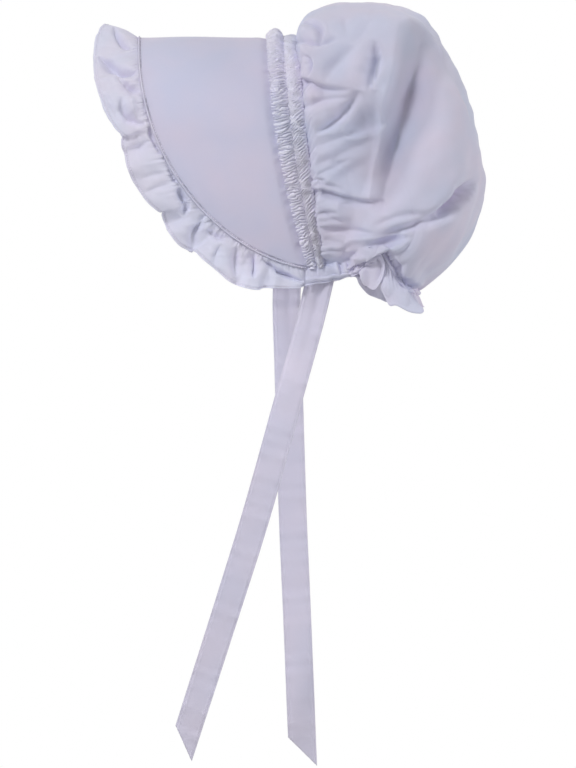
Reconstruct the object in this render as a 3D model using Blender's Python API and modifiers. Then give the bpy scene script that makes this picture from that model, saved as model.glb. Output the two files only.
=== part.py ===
"""Prairie bonnet of white cotton, in the form it keeps when it is worn.

Frame: +Z is up, the face looks along -Y, the wearer's left is +X, and x = 0 is the middle plane.
The origin is the inner face of the gathered band at the top of the head. Lengths are in metres.
"""

from collections import namedtuple
from math import cos, exp, hypot, pi, radians, sin, sqrt

import bmesh
import bpy
import numpy as np
from mathutils import Vector

# Arch over the head, shared by brim, band and front of crown
BAND_CREST = 0.003
BAND_HALF_WIDTH = 0.082
CORNER_LEVEL = -0.200
CORNER_HALF_WIDTH = 0.065
SHOULDER_SHARE = 0.42
BRIM_FLARE = 0.035

# Seams seen from the side, each from its crest to the jaw corner
SEAM_CREST = -0.130
SEAM_SWEEP = 0.147
SEAM_ROUNDNESS = 2.2
SEAM_FULLNESS = 0.63
BAND_FRONT_CREST = -0.015
BAND_FRONT_LEAN = 0.006
BAND_FRONT_CURVE = 0.030
BAND_BACK_CREST = 0.011
BAND_BACK_LEAN = 0.008
BAND_BACK_CURVE = 0.022

# Thickness of the cloth walls, and the gap between sewn neighbours
BRIM_THICKNESS = 0.0025
RUFFLE_THICKNESS = 0.0012
BAND_THICKNESS = 0.003
CROWN_THICKNESS = 0.0012
CASING_THICKNESS = 0.0018
TIE_THICKNESS = 0.001
SEWN_GAP = 0.0003
TILTED_GAP = 0.0006

# Gathered band: a shirred channel behind, and a frilled heading folded over its front part
CHANNEL_START = 0.50
CHANNEL_RISE = 0.0014
HEADING_BACK = 0.47
HEADING_FRONT = -0.03
HEADING_WAVES = 11
HEADING_WAVE = 0.0004
HEADING_LIFT = 0.0015
HeadingRow = namedtuple("HeadingRow", "place rise")
HEADING_ROWS = (
    HeadingRow(place=0.00, rise=0.0065),
    HeadingRow(place=0.10, rise=0.0050),
    HeadingRow(place=0.25, rise=0.0026),
    HeadingRow(place=0.90, rise=0.0022),
    HeadingRow(place=1.00, rise=0.0030),
)

# Crown: arches that turn about the jaw corners, from the band over the head to the nape
PIVOT_Y = 0.0458
PIVOT_Z = -0.2000
POLE_RADIUS = 0.003
CROWN_TUCK = 0.0015
LINE_FADE = 0.35
SEWN_EDGE = 0.08
FOLD_SAMPLES = 14

CrownArch = namedtuple("CrownArch", "turn reach half_width shoulder")
CROWN_ARCHES = (
    CrownArch(turn=99.8, reach=0.2046, half_width=0.0805, shoulder=0.42),
    CrownArch(turn=98.4, reach=0.2180, half_width=0.0890, shoulder=0.42),
    CrownArch(turn=95.0, reach=0.2265, half_width=0.0950, shoulder=0.42),
    CrownArch(turn=88.7, reach=0.2322, half_width=0.1010, shoulder=0.43),
    CrownArch(turn=80.0, reach=0.2362, half_width=0.1060, shoulder=0.44),
    CrownArch(turn=71.0, reach=0.2300, half_width=0.1090, shoulder=0.45),
    CrownArch(turn=61.0, reach=0.2064, half_width=0.1100, shoulder=0.46),
    CrownArch(turn=50.5, reach=0.1822, half_width=0.1095, shoulder=0.47),
    CrownArch(turn=39.0, reach=0.1598, half_width=0.1070, shoulder=0.48),
    CrownArch(turn=28.0, reach=0.1440, half_width=0.1020, shoulder=0.49),
    CrownArch(turn=17.0, reach=0.1226, half_width=0.0930, shoulder=0.50),
    CrownArch(turn=5.0, reach=0.0998, half_width=0.0820, shoulder=0.50),
    CrownArch(turn=-5.5, reach=0.0815, half_width=0.0710, shoulder=0.50),
    CrownArch(turn=-14.6, reach=0.0705, half_width=0.0660, shoulder=0.50),
)

# Folds pressed into both sides of the crown, by the side view's y and z; bow bends the line
Fold = namedtuple("Fold", "start_y start_z end_y end_z bow depth width")
CROWN_FOLDS = (
    Fold(start_y=0.021, start_z=0.015, end_y=0.036, end_z=0.004, bow=0.004, depth=0.004, width=0.008),
    Fold(start_y=0.014, start_z=-0.035, end_y=0.060, end_z=-0.040, bow=-0.005, depth=0.006, width=0.008),
    Fold(start_y=0.074, start_z=-0.006, end_y=0.069, end_z=-0.048, bow=0.008, depth=0.006, width=0.009),
    Fold(start_y=0.118, start_z=0.000, end_y=0.080, end_z=-0.136, bow=-0.008, depth=0.015, width=0.016),
    Fold(start_y=0.020, start_z=-0.072, end_y=0.060, end_z=-0.058, bow=-0.003, depth=0.004, width=0.008),
    Fold(start_y=0.023, start_z=-0.102, end_y=0.068, end_z=-0.092, bow=-0.003, depth=0.004, width=0.008),
    Fold(start_y=0.026, start_z=-0.133, end_y=0.078, end_z=-0.141, bow=-0.003, depth=0.008, width=0.008),
    Fold(start_y=0.029, start_z=-0.156, end_y=0.076, end_z=-0.170, bow=-0.002, depth=0.006, width=0.008),
    Fold(start_y=0.078, start_z=-0.177, end_y=0.158, end_z=-0.132, bow=-0.014, depth=0.011, width=0.011),
)

# Brim ruffle: a row for each ridge or valley, from the crest to the jaw corner
RuffleFold = namedtuple("RuffleFold", "place width lift lean")
RUFFLE_END = 0.985
RUFFLE_FLARE = radians(6.0)
RUFFLE_CURL = 0.8
RUFFLE_FOLDS = (
    RuffleFold(place=0.000, width=0.0340, lift=0.0155, lean=0.000),
    RuffleFold(place=0.060, width=0.0360, lift=0.0130, lean=0.002),
    RuffleFold(place=0.100, width=0.0380, lift=0.0060, lean=0.000),
    RuffleFold(place=0.160, width=0.0410, lift=0.0090, lean=0.002),
    RuffleFold(place=0.220, width=0.0405, lift=0.0020, lean=0.000),
    RuffleFold(place=0.300, width=0.0380, lift=0.0090, lean=0.003),
    RuffleFold(place=0.360, width=0.0320, lift=0.0010, lean=0.000),
    RuffleFold(place=0.390, width=0.0275, lift=0.0040, lean=-0.002),
    RuffleFold(place=0.450, width=0.0335, lift=0.0100, lean=0.002),
    RuffleFold(place=0.510, width=0.0335, lift=0.0050, lean=0.002),
    RuffleFold(place=0.550, width=0.0310, lift=-0.0020, lean=0.000),
    RuffleFold(place=0.585, width=0.0295, lift=0.0030, lean=-0.002),
    RuffleFold(place=0.620, width=0.0310, lift=0.0090, lean=0.002),
    RuffleFold(place=0.650, width=0.0320, lift=-0.0020, lean=0.000),
    RuffleFold(place=0.700, width=0.0320, lift=0.0090, lean=0.002),
    RuffleFold(place=0.745, width=0.0315, lift=-0.0010, lean=0.000),
    RuffleFold(place=0.770, width=0.0330, lift=0.0060, lean=0.000),
    RuffleFold(place=0.790, width=0.0330, lift=-0.0010, lean=0.000),
    RuffleFold(place=0.830, width=0.0330, lift=0.0080, lean=0.000),
    RuffleFold(place=0.870, width=0.0310, lift=0.0010, lean=0.000),
    RuffleFold(place=0.920, width=0.0260, lift=0.0050, lean=0.000),
    RuffleFold(place=1.000, width=0.0180, lift=0.0000, lean=0.000),
)

# Neck edge: a row for each place from the centre back to the front of the jaw corner
NeckEdge = namedtuple("NeckEdge", "place casing frill lift")
CORNER_FRONT_Y = 0.0170
NECK_DROP = 0.0006
CASING_TILT = radians(12.0)
FRILL_END = 0.70
NECK_EDGES = (
    NeckEdge(place=0.00, casing=0.0070, frill=0.0155, lift=0.005),
    NeckEdge(place=0.10, casing=0.0070, frill=0.0145, lift=0.001),
    NeckEdge(place=0.18, casing=0.0070, frill=0.0165, lift=0.007),
    NeckEdge(place=0.28, casing=0.0070, frill=0.0165, lift=0.000),
    NeckEdge(place=0.37, casing=0.0070, frill=0.0190, lift=0.008),
    NeckEdge(place=0.46, casing=0.0065, frill=0.019, lift=0.001),
    NeckEdge(place=0.54, casing=0.0060, frill=0.016, lift=0.006),
    NeckEdge(place=0.63, casing=0.0060, frill=0.009, lift=0.001),
    NeckEdge(place=0.70, casing=0.0065, frill=0.005, lift=0.002),
    NeckEdge(place=0.80, casing=0.0090, frill=0.004, lift=0.000),
    NeckEdge(place=1.00, casing=0.0160, frill=0.004, lift=0.000),
)

# Ties: ribbons whose middle line runs through these points, with ends cut on the slant
TiePoint = namedtuple("TiePoint", "x y z")
TIE_WIDTH = 0.0245
TIE_SLANT = 0.026
TIE_LEFT_LINE = (
    TiePoint(x=0.0613, y=0.0313, z=-0.2030),
    TiePoint(x=0.0590, y=0.0190, z=-0.2550),
    TiePoint(x=0.0560, y=-0.0006, z=-0.3250),
    TiePoint(x=0.0530, y=-0.0250, z=-0.4130),
    TiePoint(x=0.0500, y=-0.0495, z=-0.4920),
    TiePoint(x=0.0470, y=-0.0896, z=-0.6170),
)
TIE_RIGHT_LINE = (
    TiePoint(x=-0.0604, y=0.0056, z=-0.1930),
    TiePoint(x=-0.0590, y=0.0006, z=-0.2200),
    TiePoint(x=-0.0570, y=0.0022, z=-0.2900),
    TiePoint(x=-0.0550, y=0.0058, z=-0.4130),
    TiePoint(x=-0.0520, y=0.0100, z=-0.5100),
    TiePoint(x=-0.0500, y=0.0146, z=-0.6265),
)

# Facets: along and across each piece, on one half of the mirrored ones
BRIM_FACETS = (26, 2)
RUFFLE_FACETS = (60, 2)
BAND_FACETS = (24, 4)
HEADING_FACETS = (36, 2)
CROWN_FACETS = (18, 30)
CASING_FACETS = (20, 1)
FRILL_FACETS = (30, 2)
TIE_FACETS = (2, 16)
LINE_SAMPLES = 400
TIE_SAMPLES = 120
NECK_REACH = 0.02
NUDGE = 1e-4
MERGE_DISTANCE = 1e-4

WHITE_COTTON = (0.62, 0.60, 0.70, 1.0)
BRIM_COTTON = (0.55, 0.54, 0.67, 1.0)
SHADED_COTTON = (0.50, 0.49, 0.60, 1.0)
COTTON_ROUGHNESS = 0.85


def clear_scene():
    """Remove whatever the scene holds."""
    for item in list(bpy.data.objects):
        bpy.data.objects.remove(item, do_unlink=True)


def ease(share):
    """Soft step from 0 to 1."""
    share = min(1.0, max(0.0, share))
    return share * share * (3.0 - 2.0 * share)


def through_rows(rows, place):
    """Smooth curve through evenly spaced rows, from 0 at the first to 1 at the last."""
    position = place * (len(rows) - 1)
    index = min(int(position), len(rows) - 2)
    share = position - index
    near = [np.array(rows[max(0, min(index + step, len(rows) - 1))]) for step in (-1, 0, 1, 2)]
    bend = near[3] - near[0] + 3.0 * (near[1] - near[2])
    dip = 2.0 * near[0] - 5.0 * near[1] + 4.0 * near[2] - near[3]
    value = near[1] + 0.5 * share * (near[2] - near[0] + share * (dip + share * bend))
    return type(rows[0])(*value)


def between_rows(rows, place):
    """Eased change from row to row, where each row gives its own place."""
    index = 0
    while index < len(rows) - 2 and rows[index + 1].place < place:
        index += 1
    first = rows[index]
    second = rows[index + 1]
    share = ease((place - first.place) / (second.place - first.place))
    return type(first)(*(a + (b - a) * share for a, b in zip(first, second)))


def arch_profile(side, half_width, height, shoulder, corner):
    """Half width and drop below the crest, with side from 0 at the crest to 1 at the corner.

    The top is a quarter ellipse down to the shoulder, and below it the side draws in to the corner.
    """
    top_drop = shoulder * height
    top_run = 0.5 * pi * hypot(half_width, top_drop) / sqrt(2.0)
    side_run = hypot(height - top_drop, half_width - corner)
    top_share = top_run / (top_run + side_run)
    if side <= top_share:
        angle = 0.5 * pi * side / top_share
        return half_width * sin(angle), top_drop * (1.0 - cos(angle))
    share = (side - top_share) / (1.0 - top_share)
    return half_width - (half_width - corner) * share ** 2, top_drop + (height - top_drop) * share


def level_of(z):
    """Share of the way down from the crest to the jaw corner."""
    return min(1.0, max(0.0, z / CORNER_LEVEL))


def seam_y(z):
    """Front seam of the brim, seen from the side."""
    fullness = (1.0 - level_of(z) ** SEAM_ROUNDNESS) ** SEAM_FULLNESS
    return SEAM_CREST + SEAM_SWEEP * (1.0 - fullness)


def band_front_y(z):
    """Front edge of the band, where the brim ends."""
    level = level_of(z)
    return BAND_FRONT_CREST + BAND_FRONT_LEAN * level + BAND_FRONT_CURVE * level ** 2


def band_back_y(z):
    """Back edge of the band, where the crown begins."""
    level = level_of(z)
    return BAND_BACK_CREST + BAND_BACK_LEAN * level + BAND_BACK_CURVE * level ** 2


def head_arch(side, y, inset=0.0):
    """Point of the arch over the head at a depth y, flaring a little towards the face."""
    half_width = BAND_HALF_WIDTH + BRIM_FLARE * max(0.0, BAND_FRONT_CREST - y) - inset
    crest = BAND_CREST - inset
    x, drop = arch_profile(side, half_width, crest - CORNER_LEVEL, SHOULDER_SHARE,
                           CORNER_HALF_WIDTH - inset)
    return Vector((x, y, crest - drop))


def arch_outward(side, y):
    """Unit vector out of the head arch, square to it and to Y."""
    run = head_arch(min(1.0, side + NUDGE), y) - head_arch(max(0.0, side - NUDGE), y)
    return Vector((-run.z, 0.0, run.x)).normalized()


def seam_point(side, inset=0.0):
    """Point of the brim's front seam."""
    level = head_arch(side, 0.0, inset).z
    return head_arch(side, seam_y(level), inset)


def run_lengths(points):
    """Length along a line of points, from its start to each point."""
    steps = [(b - a).length for a, b in zip(points, points[1:])]
    return np.concatenate(([0.0], np.cumsum(steps)))


def point_along(points, lengths, distance):
    """Point of a line at a distance from its start."""
    columns = zip(*points)
    return Vector([float(np.interp(distance, lengths, column)) for column in columns])


SEAM_SIDES = np.linspace(0.0, 1.0, LINE_SAMPLES)
SEAM_LENGTHS = run_lengths([seam_point(side) for side in SEAM_SIDES])


def seam_side(place):
    """Arch position at a share of the front seam's length."""
    return float(np.interp(place * SEAM_LENGTHS[-1], SEAM_LENGTHS, SEAM_SIDES))


def brim_surface(place, depth):
    """Outer face of the brim, from its front seam (depth 0) to the band (depth 1)."""
    front_side = seam_side(place)
    front = seam_point(front_side)
    back_y = band_front_y(head_arch(place, 0.0).z) - SEWN_GAP
    side = front_side + (place - front_side) * depth
    return head_arch(side, front.y + (back_y - front.y) * depth)


def ruffle_surface(place, depth):
    """Gathered strip in front of the brim, from its free edge (depth 0) to the seam (depth 1)."""
    place = place * RUFFLE_END
    fold = between_rows(RUFFLE_FOLDS, place)
    side = seam_side(place)
    inset = 0.5 * (BRIM_THICKNESS - RUFFLE_THICKNESS)
    seam = seam_point(side, inset)
    ahead = seam_point(min(1.0, side + NUDGE), inset) - seam_point(max(0.0, side - NUDGE), inset)
    along = ahead.normalized()
    outward = arch_outward(side, seam.y)
    forward = along.cross(outward).normalized()
    reach = 1.0 - depth
    rise = sin(RUFFLE_FLARE) * fold.width * reach + fold.lift * reach ** RUFFLE_CURL
    run = TILTED_GAP + cos(RUFFLE_FLARE) * fold.width * reach
    return seam + forward * run + outward * rise + along * (fold.lean * reach)


def band_surface(place, depth):
    """Outer face of the gathered band, flat under the heading and rounded over the elastic."""
    level = head_arch(place, 0.0).z
    front = band_front_y(level)
    back = band_back_y(level)
    channel = max(0.0, (depth - CHANNEL_START) / (1.0 - CHANNEL_START))
    rise = CHANNEL_RISE * sin(pi * channel)
    return head_arch(place, front + (back - front) * depth, -rise)


def heading_surface(place, depth):
    """Frilled heading, rounded over the front part of the band from its free edge (depth 0)."""
    level = head_arch(place, 0.0).z
    front = band_front_y(level)
    across = band_back_y(level) - front
    foot = head_arch(place, front + across * (HEADING_FRONT + (HEADING_BACK - HEADING_FRONT) * depth))
    wave = HEADING_WAVE * sin(2.0 * pi * HEADING_WAVES * place)
    row = between_rows(HEADING_ROWS, place)
    rise = HEADING_LIFT + (row.rise + wave) * sin(pi * depth)
    return foot + arch_outward(place, foot.y) * rise


def crown_base(side, sweep):
    """Smooth outer form of the crown, from the band (sweep 0) to the nape (sweep 1)."""
    arch = through_rows(CROWN_ARCHES, sweep)
    x, drop = arch_profile(side, arch.half_width, arch.reach - POLE_RADIUS, arch.shoulder,
                           CORNER_HALF_WIDTH - CROWN_TUCK)
    radius = arch.reach - drop
    turn = radians(arch.turn)
    y = PIVOT_Y + radius * cos(turn)
    z = PIVOT_Z + radius * sin(turn)
    front = CROWN_ARCHES[0]
    front_turn = radians(front.turn)
    front_radius = front.reach - arch_profile(side, front.half_width, front.reach - POLE_RADIUS,
                                              front.shoulder, CORNER_HALF_WIDTH)[1]
    front_z = PIVOT_Z + front_radius * sin(front_turn)
    shift = band_back_y(front_z) + SEWN_GAP - (PIVOT_Y + front_radius * cos(front_turn))
    return Vector((x, y + shift * (1.0 - ease(sweep / LINE_FADE)), z))


def fold_depth(fold, y, z):
    """How far a fold presses the cloth in at a place of the side view."""
    start = Vector((fold.start_y, fold.start_z))
    end = Vector((fold.end_y, fold.end_z))
    across = Vector((end.y - start.y, start.x - end.x)).normalized()
    deepest = 0.0
    for step in range(1, FOLD_SAMPLES):
        share = step / FOLD_SAMPLES
        middle = start.lerp(end, share) - across * (4.0 * fold.bow * share * (1.0 - share))
        distance = (Vector((y, z)) - middle).length / fold.width
        deepest = max(deepest, sqrt(sin(pi * share)) * exp(-distance * distance))
    return fold.depth * deepest


def crown_surface(side, sweep):
    """Crown with its main folds pressed in, square to the cloth."""
    point = crown_base(side, sweep)
    near_side = min(1.0, side + NUDGE)
    near_sweep = min(1.0, sweep + NUDGE)
    run = crown_base(near_side, sweep) - crown_base(near_side - NUDGE, sweep)
    climb = crown_base(side, near_sweep) - crown_base(side, near_sweep - NUDGE)
    outward = run.cross(climb).normalized()
    held = min(1.0, sweep / SEWN_EDGE) * min(1.0, (1.0 - sweep) / SEWN_EDGE)
    depth = sum(fold_depth(fold, point.y, point.z) for fold in CROWN_FOLDS) * held
    return point - outward * depth


NECK_LINE = [crown_base(side, 1.0) for side in np.linspace(0.0, 1.0, LINE_SAMPLES)]
NECK_LINE.append(Vector((CORNER_HALF_WIDTH - CROWN_TUCK, CORNER_FRONT_Y, CORNER_LEVEL - NECK_DROP)))
NECK_LENGTHS = run_lengths(NECK_LINE)


def neck_point(place):
    """Point of the neck line, from the centre back to the front of the jaw corner."""
    return point_along(NECK_LINE, NECK_LENGTHS, place * NECK_LENGTHS[-1])


def neck_outward(place):
    """Level unit vector out of the neck line."""
    ahead = neck_point(min(1.0, place + NECK_REACH)) - neck_point(max(0.0, place - NECK_REACH))
    if place == 0.0:
        ahead.y = 0.0
    return Vector((-ahead.y, ahead.x, 0.0)).normalized()


def casing_surface(place, depth):
    """Hem with the elastic, from the crown's edge (depth 0) down to its lower edge (depth 1)."""
    edge = between_rows(NECK_EDGES, place)
    drop = NECK_DROP + edge.casing * depth * cos(CASING_TILT)
    spread = edge.casing * depth * sin(CASING_TILT)
    return neck_point(place) + neck_outward(place) * spread - Vector((0.0, 0.0, drop))


def frill_surface(place, depth):
    """Free edge of the cloth below the casing, waving in and out."""
    place = place * FRILL_END
    edge = between_rows(NECK_EDGES, place)
    drop = TILTED_GAP + edge.frill * depth
    spread = edge.lift * depth
    return casing_surface(place, 1.0) + neck_outward(place) * spread - Vector((0.0, 0.0, drop))


def tie_surface(rows):
    """Ribbon along a line of rows, from its slanted end (height 0) to its sewn top (height 1)."""
    line = [Vector(through_rows(rows, share)) for share in np.linspace(0.0, 1.0, TIE_SAMPLES)]
    lengths = run_lengths(line)

    def surface(width, height):
        distance = (1.0 - height) * (lengths[-1] + TIE_SLANT * (width - 0.5))
        inside = min(distance, lengths[-1])
        ahead = point_along(line, lengths, inside + NUDGE) - point_along(line, lengths, inside - NUDGE)
        ahead.normalize()
        across = Vector((0.0, -ahead.z, ahead.y)).normalized()
        middle = point_along(line, lengths, inside) + ahead * (distance - inside)
        return middle + across * (TIE_WIDTH * (width - 0.5))

    return surface


def cotton(name, color):
    """Plain cotton of one colour."""
    material = bpy.data.materials.new(name)
    material.use_nodes = True
    shader = material.node_tree.nodes["Principled BSDF"]
    shader.inputs["Base Color"].default_value = color
    shader.inputs["Roughness"].default_value = COTTON_ROUGHNESS
    shader.inputs["Metallic"].default_value = 0.0
    return material


def cloth_piece(name, facets, surface, thickness, color, collection, mirrored=True):
    """Wall of cloth: a flat grid laid over a surface, mirrored where it crosses the middle plane."""
    cloth = bmesh.new()
    bmesh.ops.create_grid(cloth, x_segments=facets[0], y_segments=facets[1], size=0.5)
    for point in cloth.verts:
        place = round(point.co.x + 0.5, 6)
        depth = round(point.co.y + 0.5, 6)
        point.co = surface(place, depth)
        if mirrored and place == 0.0:
            point.co.x = 0.0
    mesh = bpy.data.meshes.new(name)
    cloth.to_mesh(mesh)
    cloth.free()
    mesh.shade_smooth()
    mesh.materials.append(cotton(name + "_cotton", color))
    piece = bpy.data.objects.new(name, mesh)
    collection.objects.link(piece)
    if mirrored:
        mirror = piece.modifiers.new("other_side", "MIRROR")
        mirror.use_clip = True
        mirror.merge_threshold = MERGE_DISTANCE
    wall = piece.modifiers.new("cloth_wall", "SOLIDIFY")
    wall.thickness = thickness
    wall.offset = -1.0
    return piece


def build_bonnet():
    """Make every piece of the bonnet in one collection."""
    clear_scene()
    bonnet = bpy.data.collections.new("bonnet")
    bpy.context.scene.collection.children.link(bonnet)
    cloth_piece("brim", BRIM_FACETS, brim_surface, BRIM_THICKNESS, BRIM_COTTON, bonnet)
    cloth_piece("brim_ruffle", RUFFLE_FACETS, ruffle_surface, RUFFLE_THICKNESS, WHITE_COTTON, bonnet)
    cloth_piece("band_heading", HEADING_FACETS, heading_surface, RUFFLE_THICKNESS, WHITE_COTTON, bonnet)
    cloth_piece("gathered_band", BAND_FACETS, band_surface, BAND_THICKNESS, SHADED_COTTON, bonnet)
    cloth_piece("crown", CROWN_FACETS, crown_surface, CROWN_THICKNESS, WHITE_COTTON, bonnet)
    cloth_piece("neck_casing", CASING_FACETS, casing_surface, CASING_THICKNESS, WHITE_COTTON, bonnet)
    cloth_piece("neck_frill", FRILL_FACETS, frill_surface, RUFFLE_THICKNESS, WHITE_COTTON, bonnet)
    cloth_piece("tie_left", TIE_FACETS, tie_surface(TIE_LEFT_LINE), TIE_THICKNESS, WHITE_COTTON,
                bonnet, mirrored=False)
    cloth_piece("tie_right", TIE_FACETS, tie_surface(TIE_RIGHT_LINE), TIE_THICKNESS, WHITE_COTTON,
                bonnet, mirrored=False)


build_bonnet()
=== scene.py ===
"""Prairie bonnet of white cotton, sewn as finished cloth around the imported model.

The file is laid out as an add-on and run as a script. Lengths are in metres, +Z is up, the face
looks along -Y, and the wearer's left is +X. Every piece but the ties runs from the wearer's right
jaw corner (place -1) over the crest or the centre back (place 0) to the left jaw corner (place 1).
"""

from collections import namedtuple
from math import cos, pi, radians, sin

import bmesh
import bpy
import numpy as np
from bpy.props import FloatProperty, FloatVectorProperty, IntProperty, PointerProperty
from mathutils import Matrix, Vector


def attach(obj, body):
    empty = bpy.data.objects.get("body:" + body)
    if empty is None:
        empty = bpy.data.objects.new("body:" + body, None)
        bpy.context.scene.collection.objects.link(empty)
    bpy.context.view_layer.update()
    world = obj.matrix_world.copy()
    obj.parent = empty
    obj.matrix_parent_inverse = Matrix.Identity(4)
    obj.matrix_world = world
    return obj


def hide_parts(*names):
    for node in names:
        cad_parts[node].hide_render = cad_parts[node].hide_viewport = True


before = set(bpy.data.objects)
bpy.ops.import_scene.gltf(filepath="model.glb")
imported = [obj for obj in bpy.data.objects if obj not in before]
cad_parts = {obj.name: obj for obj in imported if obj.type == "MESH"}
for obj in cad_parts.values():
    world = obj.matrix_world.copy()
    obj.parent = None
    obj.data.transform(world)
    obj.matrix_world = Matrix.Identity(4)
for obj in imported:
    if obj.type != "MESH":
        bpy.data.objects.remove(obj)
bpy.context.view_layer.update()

bl_info = {
    "name": "Prairie Bonnet",
    "version": (1, 0, 0),
    "blender": (4, 5, 0),
    "location": "View3D > Sidebar > Bonnet",
    "description": "Sews a gathered cotton bonnet around its packed model",
    "category": "Add Mesh",
}

BODY = "root"
MILLIMETRE = 0.001

# A bead is a ridge or groove beside an edge, and a wave is a soft unevenness of the cloth
Bead = namedtuple("Bead", "height place width")
Wave = namedtuple("Wave", "height wavelength seed")


def in_metres(kind, lengths, rows):
    """Rows of a table, whose columns of lengths are given in millimetres."""
    made = []
    for row in rows:
        row = kind(*row)
        made.append(row._replace(**{name: MILLIMETRE * getattr(row, name) for name in lengths}))
    return tuple(made)


# Arch over the head, shared by brim, band and front of crown
BAND_CREST = 0.003
BAND_HALF_WIDTH = 0.082
CORNER_LEVEL = -0.200
CORNER_HALF_WIDTH = 0.065
SHOULDER_SHARE = 0.42
BRIM_FLARE = 0.035

# Seams seen from the side, each from its crest to the jaw corner
SEAM_CREST = -0.130
SEAM_SWEEP = 0.147
SEAM_ROUNDNESS = 2.2
SEAM_FULLNESS = 0.63
BAND_FRONT_CREST = -0.015
BAND_FRONT_LEAN = 0.006
BAND_FRONT_CURVE = 0.030
BAND_BACK_CREST = 0.011
BAND_BACK_LEAN = 0.012
BAND_BACK_CURVE = 0.011

# Sizes that set the scale of each cloth's weave, with how full two of them are gathered.
BRIM_DEPTH = 0.115
RUFFLE_DEPTH = 0.036
RUFFLE_FULLNESS = 1.4
HEADING_DEPTH = 0.013
CHANNEL_DEPTH = 0.026
CROWN_SIZE = (0.36, 0.42)
CASING_DEPTH = 0.008
FRILL_DEPTH = 0.016
FRILL_FULLNESS = 1.3

# Walls: hems are folded double, and the casing counts as one and a half layers
BRIM_THICKNESS = 0.0022
CHANNEL_THICKNESS = 0.0018
TIE_THICKNESS = 0.0009
HEM_LAYERS = 2.0
CASING_LAYERS = 1.5

# Brim: an edge zone has the rolled seam and its topstitching, and takes a share of the grid's rows
BRIM_LAP = 0.004
BRIM_WAVE = Wave(height=0.0006, wavelength=0.09, seed=21)
EDGE_ZONE = 0.005
EDGE_ZONE_SHARE = 0.3
EDGE_ROWS = 0.30
EDGE_ROLL = Bead(height=0.0019, place=0.0009, width=0.0008)
EDGE_LIP = Bead(height=0.0004, place=0.0, width=0.0004)
STITCH_INSET = 0.0021
STITCH_GROOVE = Bead(height=0.0011, place=STITCH_INSET, width=0.00045)
SLITS = Wave(height=1.9, wavelength=0.016, seed=61)
SLIT_BASE = 0.2
BAND_DENT = 0.0020
BAND_DENT_REACH = 0.009
BAND_DENT_WAVE = Wave(height=0.35, wavelength=0.012, seed=22)
FIRM_REACH = 0.02

# Ruffle: growth is how fast its wrinkles and creases rise from the seam
RUFFLE_WIDTH = 0.034
RUFFLE_HEM = 0.05
RUFFLE_HEM_FADE = 0.02
SEAM_TUCK = 0.0016
HEM_PLACE = 0.06
HEM_GROOVE = Bead(height=0.0010, place=HEM_PLACE, width=0.016)
RUFFLE_WAVES = (
    Wave(height=0.0012, wavelength=0.026, seed=31),
    Wave(height=0.0006, wavelength=0.012, seed=32),
)
WRINKLE_GROWTH = 18.0
CREASE_GROWTH = 8.0
FAR_CREASES = 0.35
FAR_BLEND = 0.04
CREST_CALM = 0.03

# The ruffle's free edge in the side view, from the crest to a jaw corner: its place as a share, and
# its lengths in millimetres. Out is how far it stands out from the seam, and bow is how far the strip
# between them is puffed.
RuffleEdge = namedtuple("RuffleEdge", "place y z out bow")
RUFFLE_LENGTHS = ("y", "z", "out", "bow")
RUFFLE_LEFT = in_metres(RuffleEdge, RUFFLE_LENGTHS, (
    (0, -156.5, 16, 0, 2),
    (0.012, -158, 15.5, 0.5, 2),
    (0.03, -162, 12.5, 2, 3),
    (0.055, -166, 4, 4, 4),
    (0.085, -168.5, -6.5, 5, 5),
    (0.12, -169.5, -17, 6, 4),
    (0.16, -168.5, -27.5, 5, 2),
    (0.2, -167, -37, 7, 4),
    (0.24, -164.5, -46, 9, 4),
    (0.28, -161.5, -54.5, 9, 3),
    (0.32, -158, -64, 11, 4),
    (0.35, -153, -73, 12, 3),
    (0.375, -147, -81, 12, 2),
    (0.395, -140.5, -86, 9, 2),
    (0.41, -140, -84.5, 6, 1),
    (0.424, -143.5, -87, 4, 1),
    (0.44, -144, -93, 5, 2),
    (0.465, -141.5, -101, 4, 3),
    (0.5, -139, -112, 9, 4),
    (0.54, -134.5, -123.5, 8, 3),
    (0.58, -127.5, -135, 8, 3),
    (0.612, -119, -145.5, 9, 3),
    (0.636, -110, -152.5, 7, 2),
    (0.65, -107.5, -152.5, 5, 0),
    (0.663, -108.5, -155, 3, 1),
    (0.676, -106.5, -161, 0, 1),
    (0.695, -101.5, -171, 6, 3),
    (0.712, -92.5, -181.5, 5, 2),
    (0.727, -83, -185.5, 0, 0),
    (0.742, -79.5, -186.5, 3, 1),
    (0.765, -71, -194.5, 9, 4),
    (0.795, -59.5, -204, 8, 3),
    (0.822, -50, -212, 5, 2),
    (0.842, -43, -215.5, 2, 1),
    (0.862, -35, -218, 6, 3),
    (0.884, -26, -219.5, 6, 2),
    (0.904, -18.5, -218, 1, 1),
    (0.922, -10.5, -218, 4, 2),
    (0.945, -1, -218, 2, 1),
    (0.965, 9.5, -218, 3, 1),
    (1, 17.5, -215.5, 0, 0),
))
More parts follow.
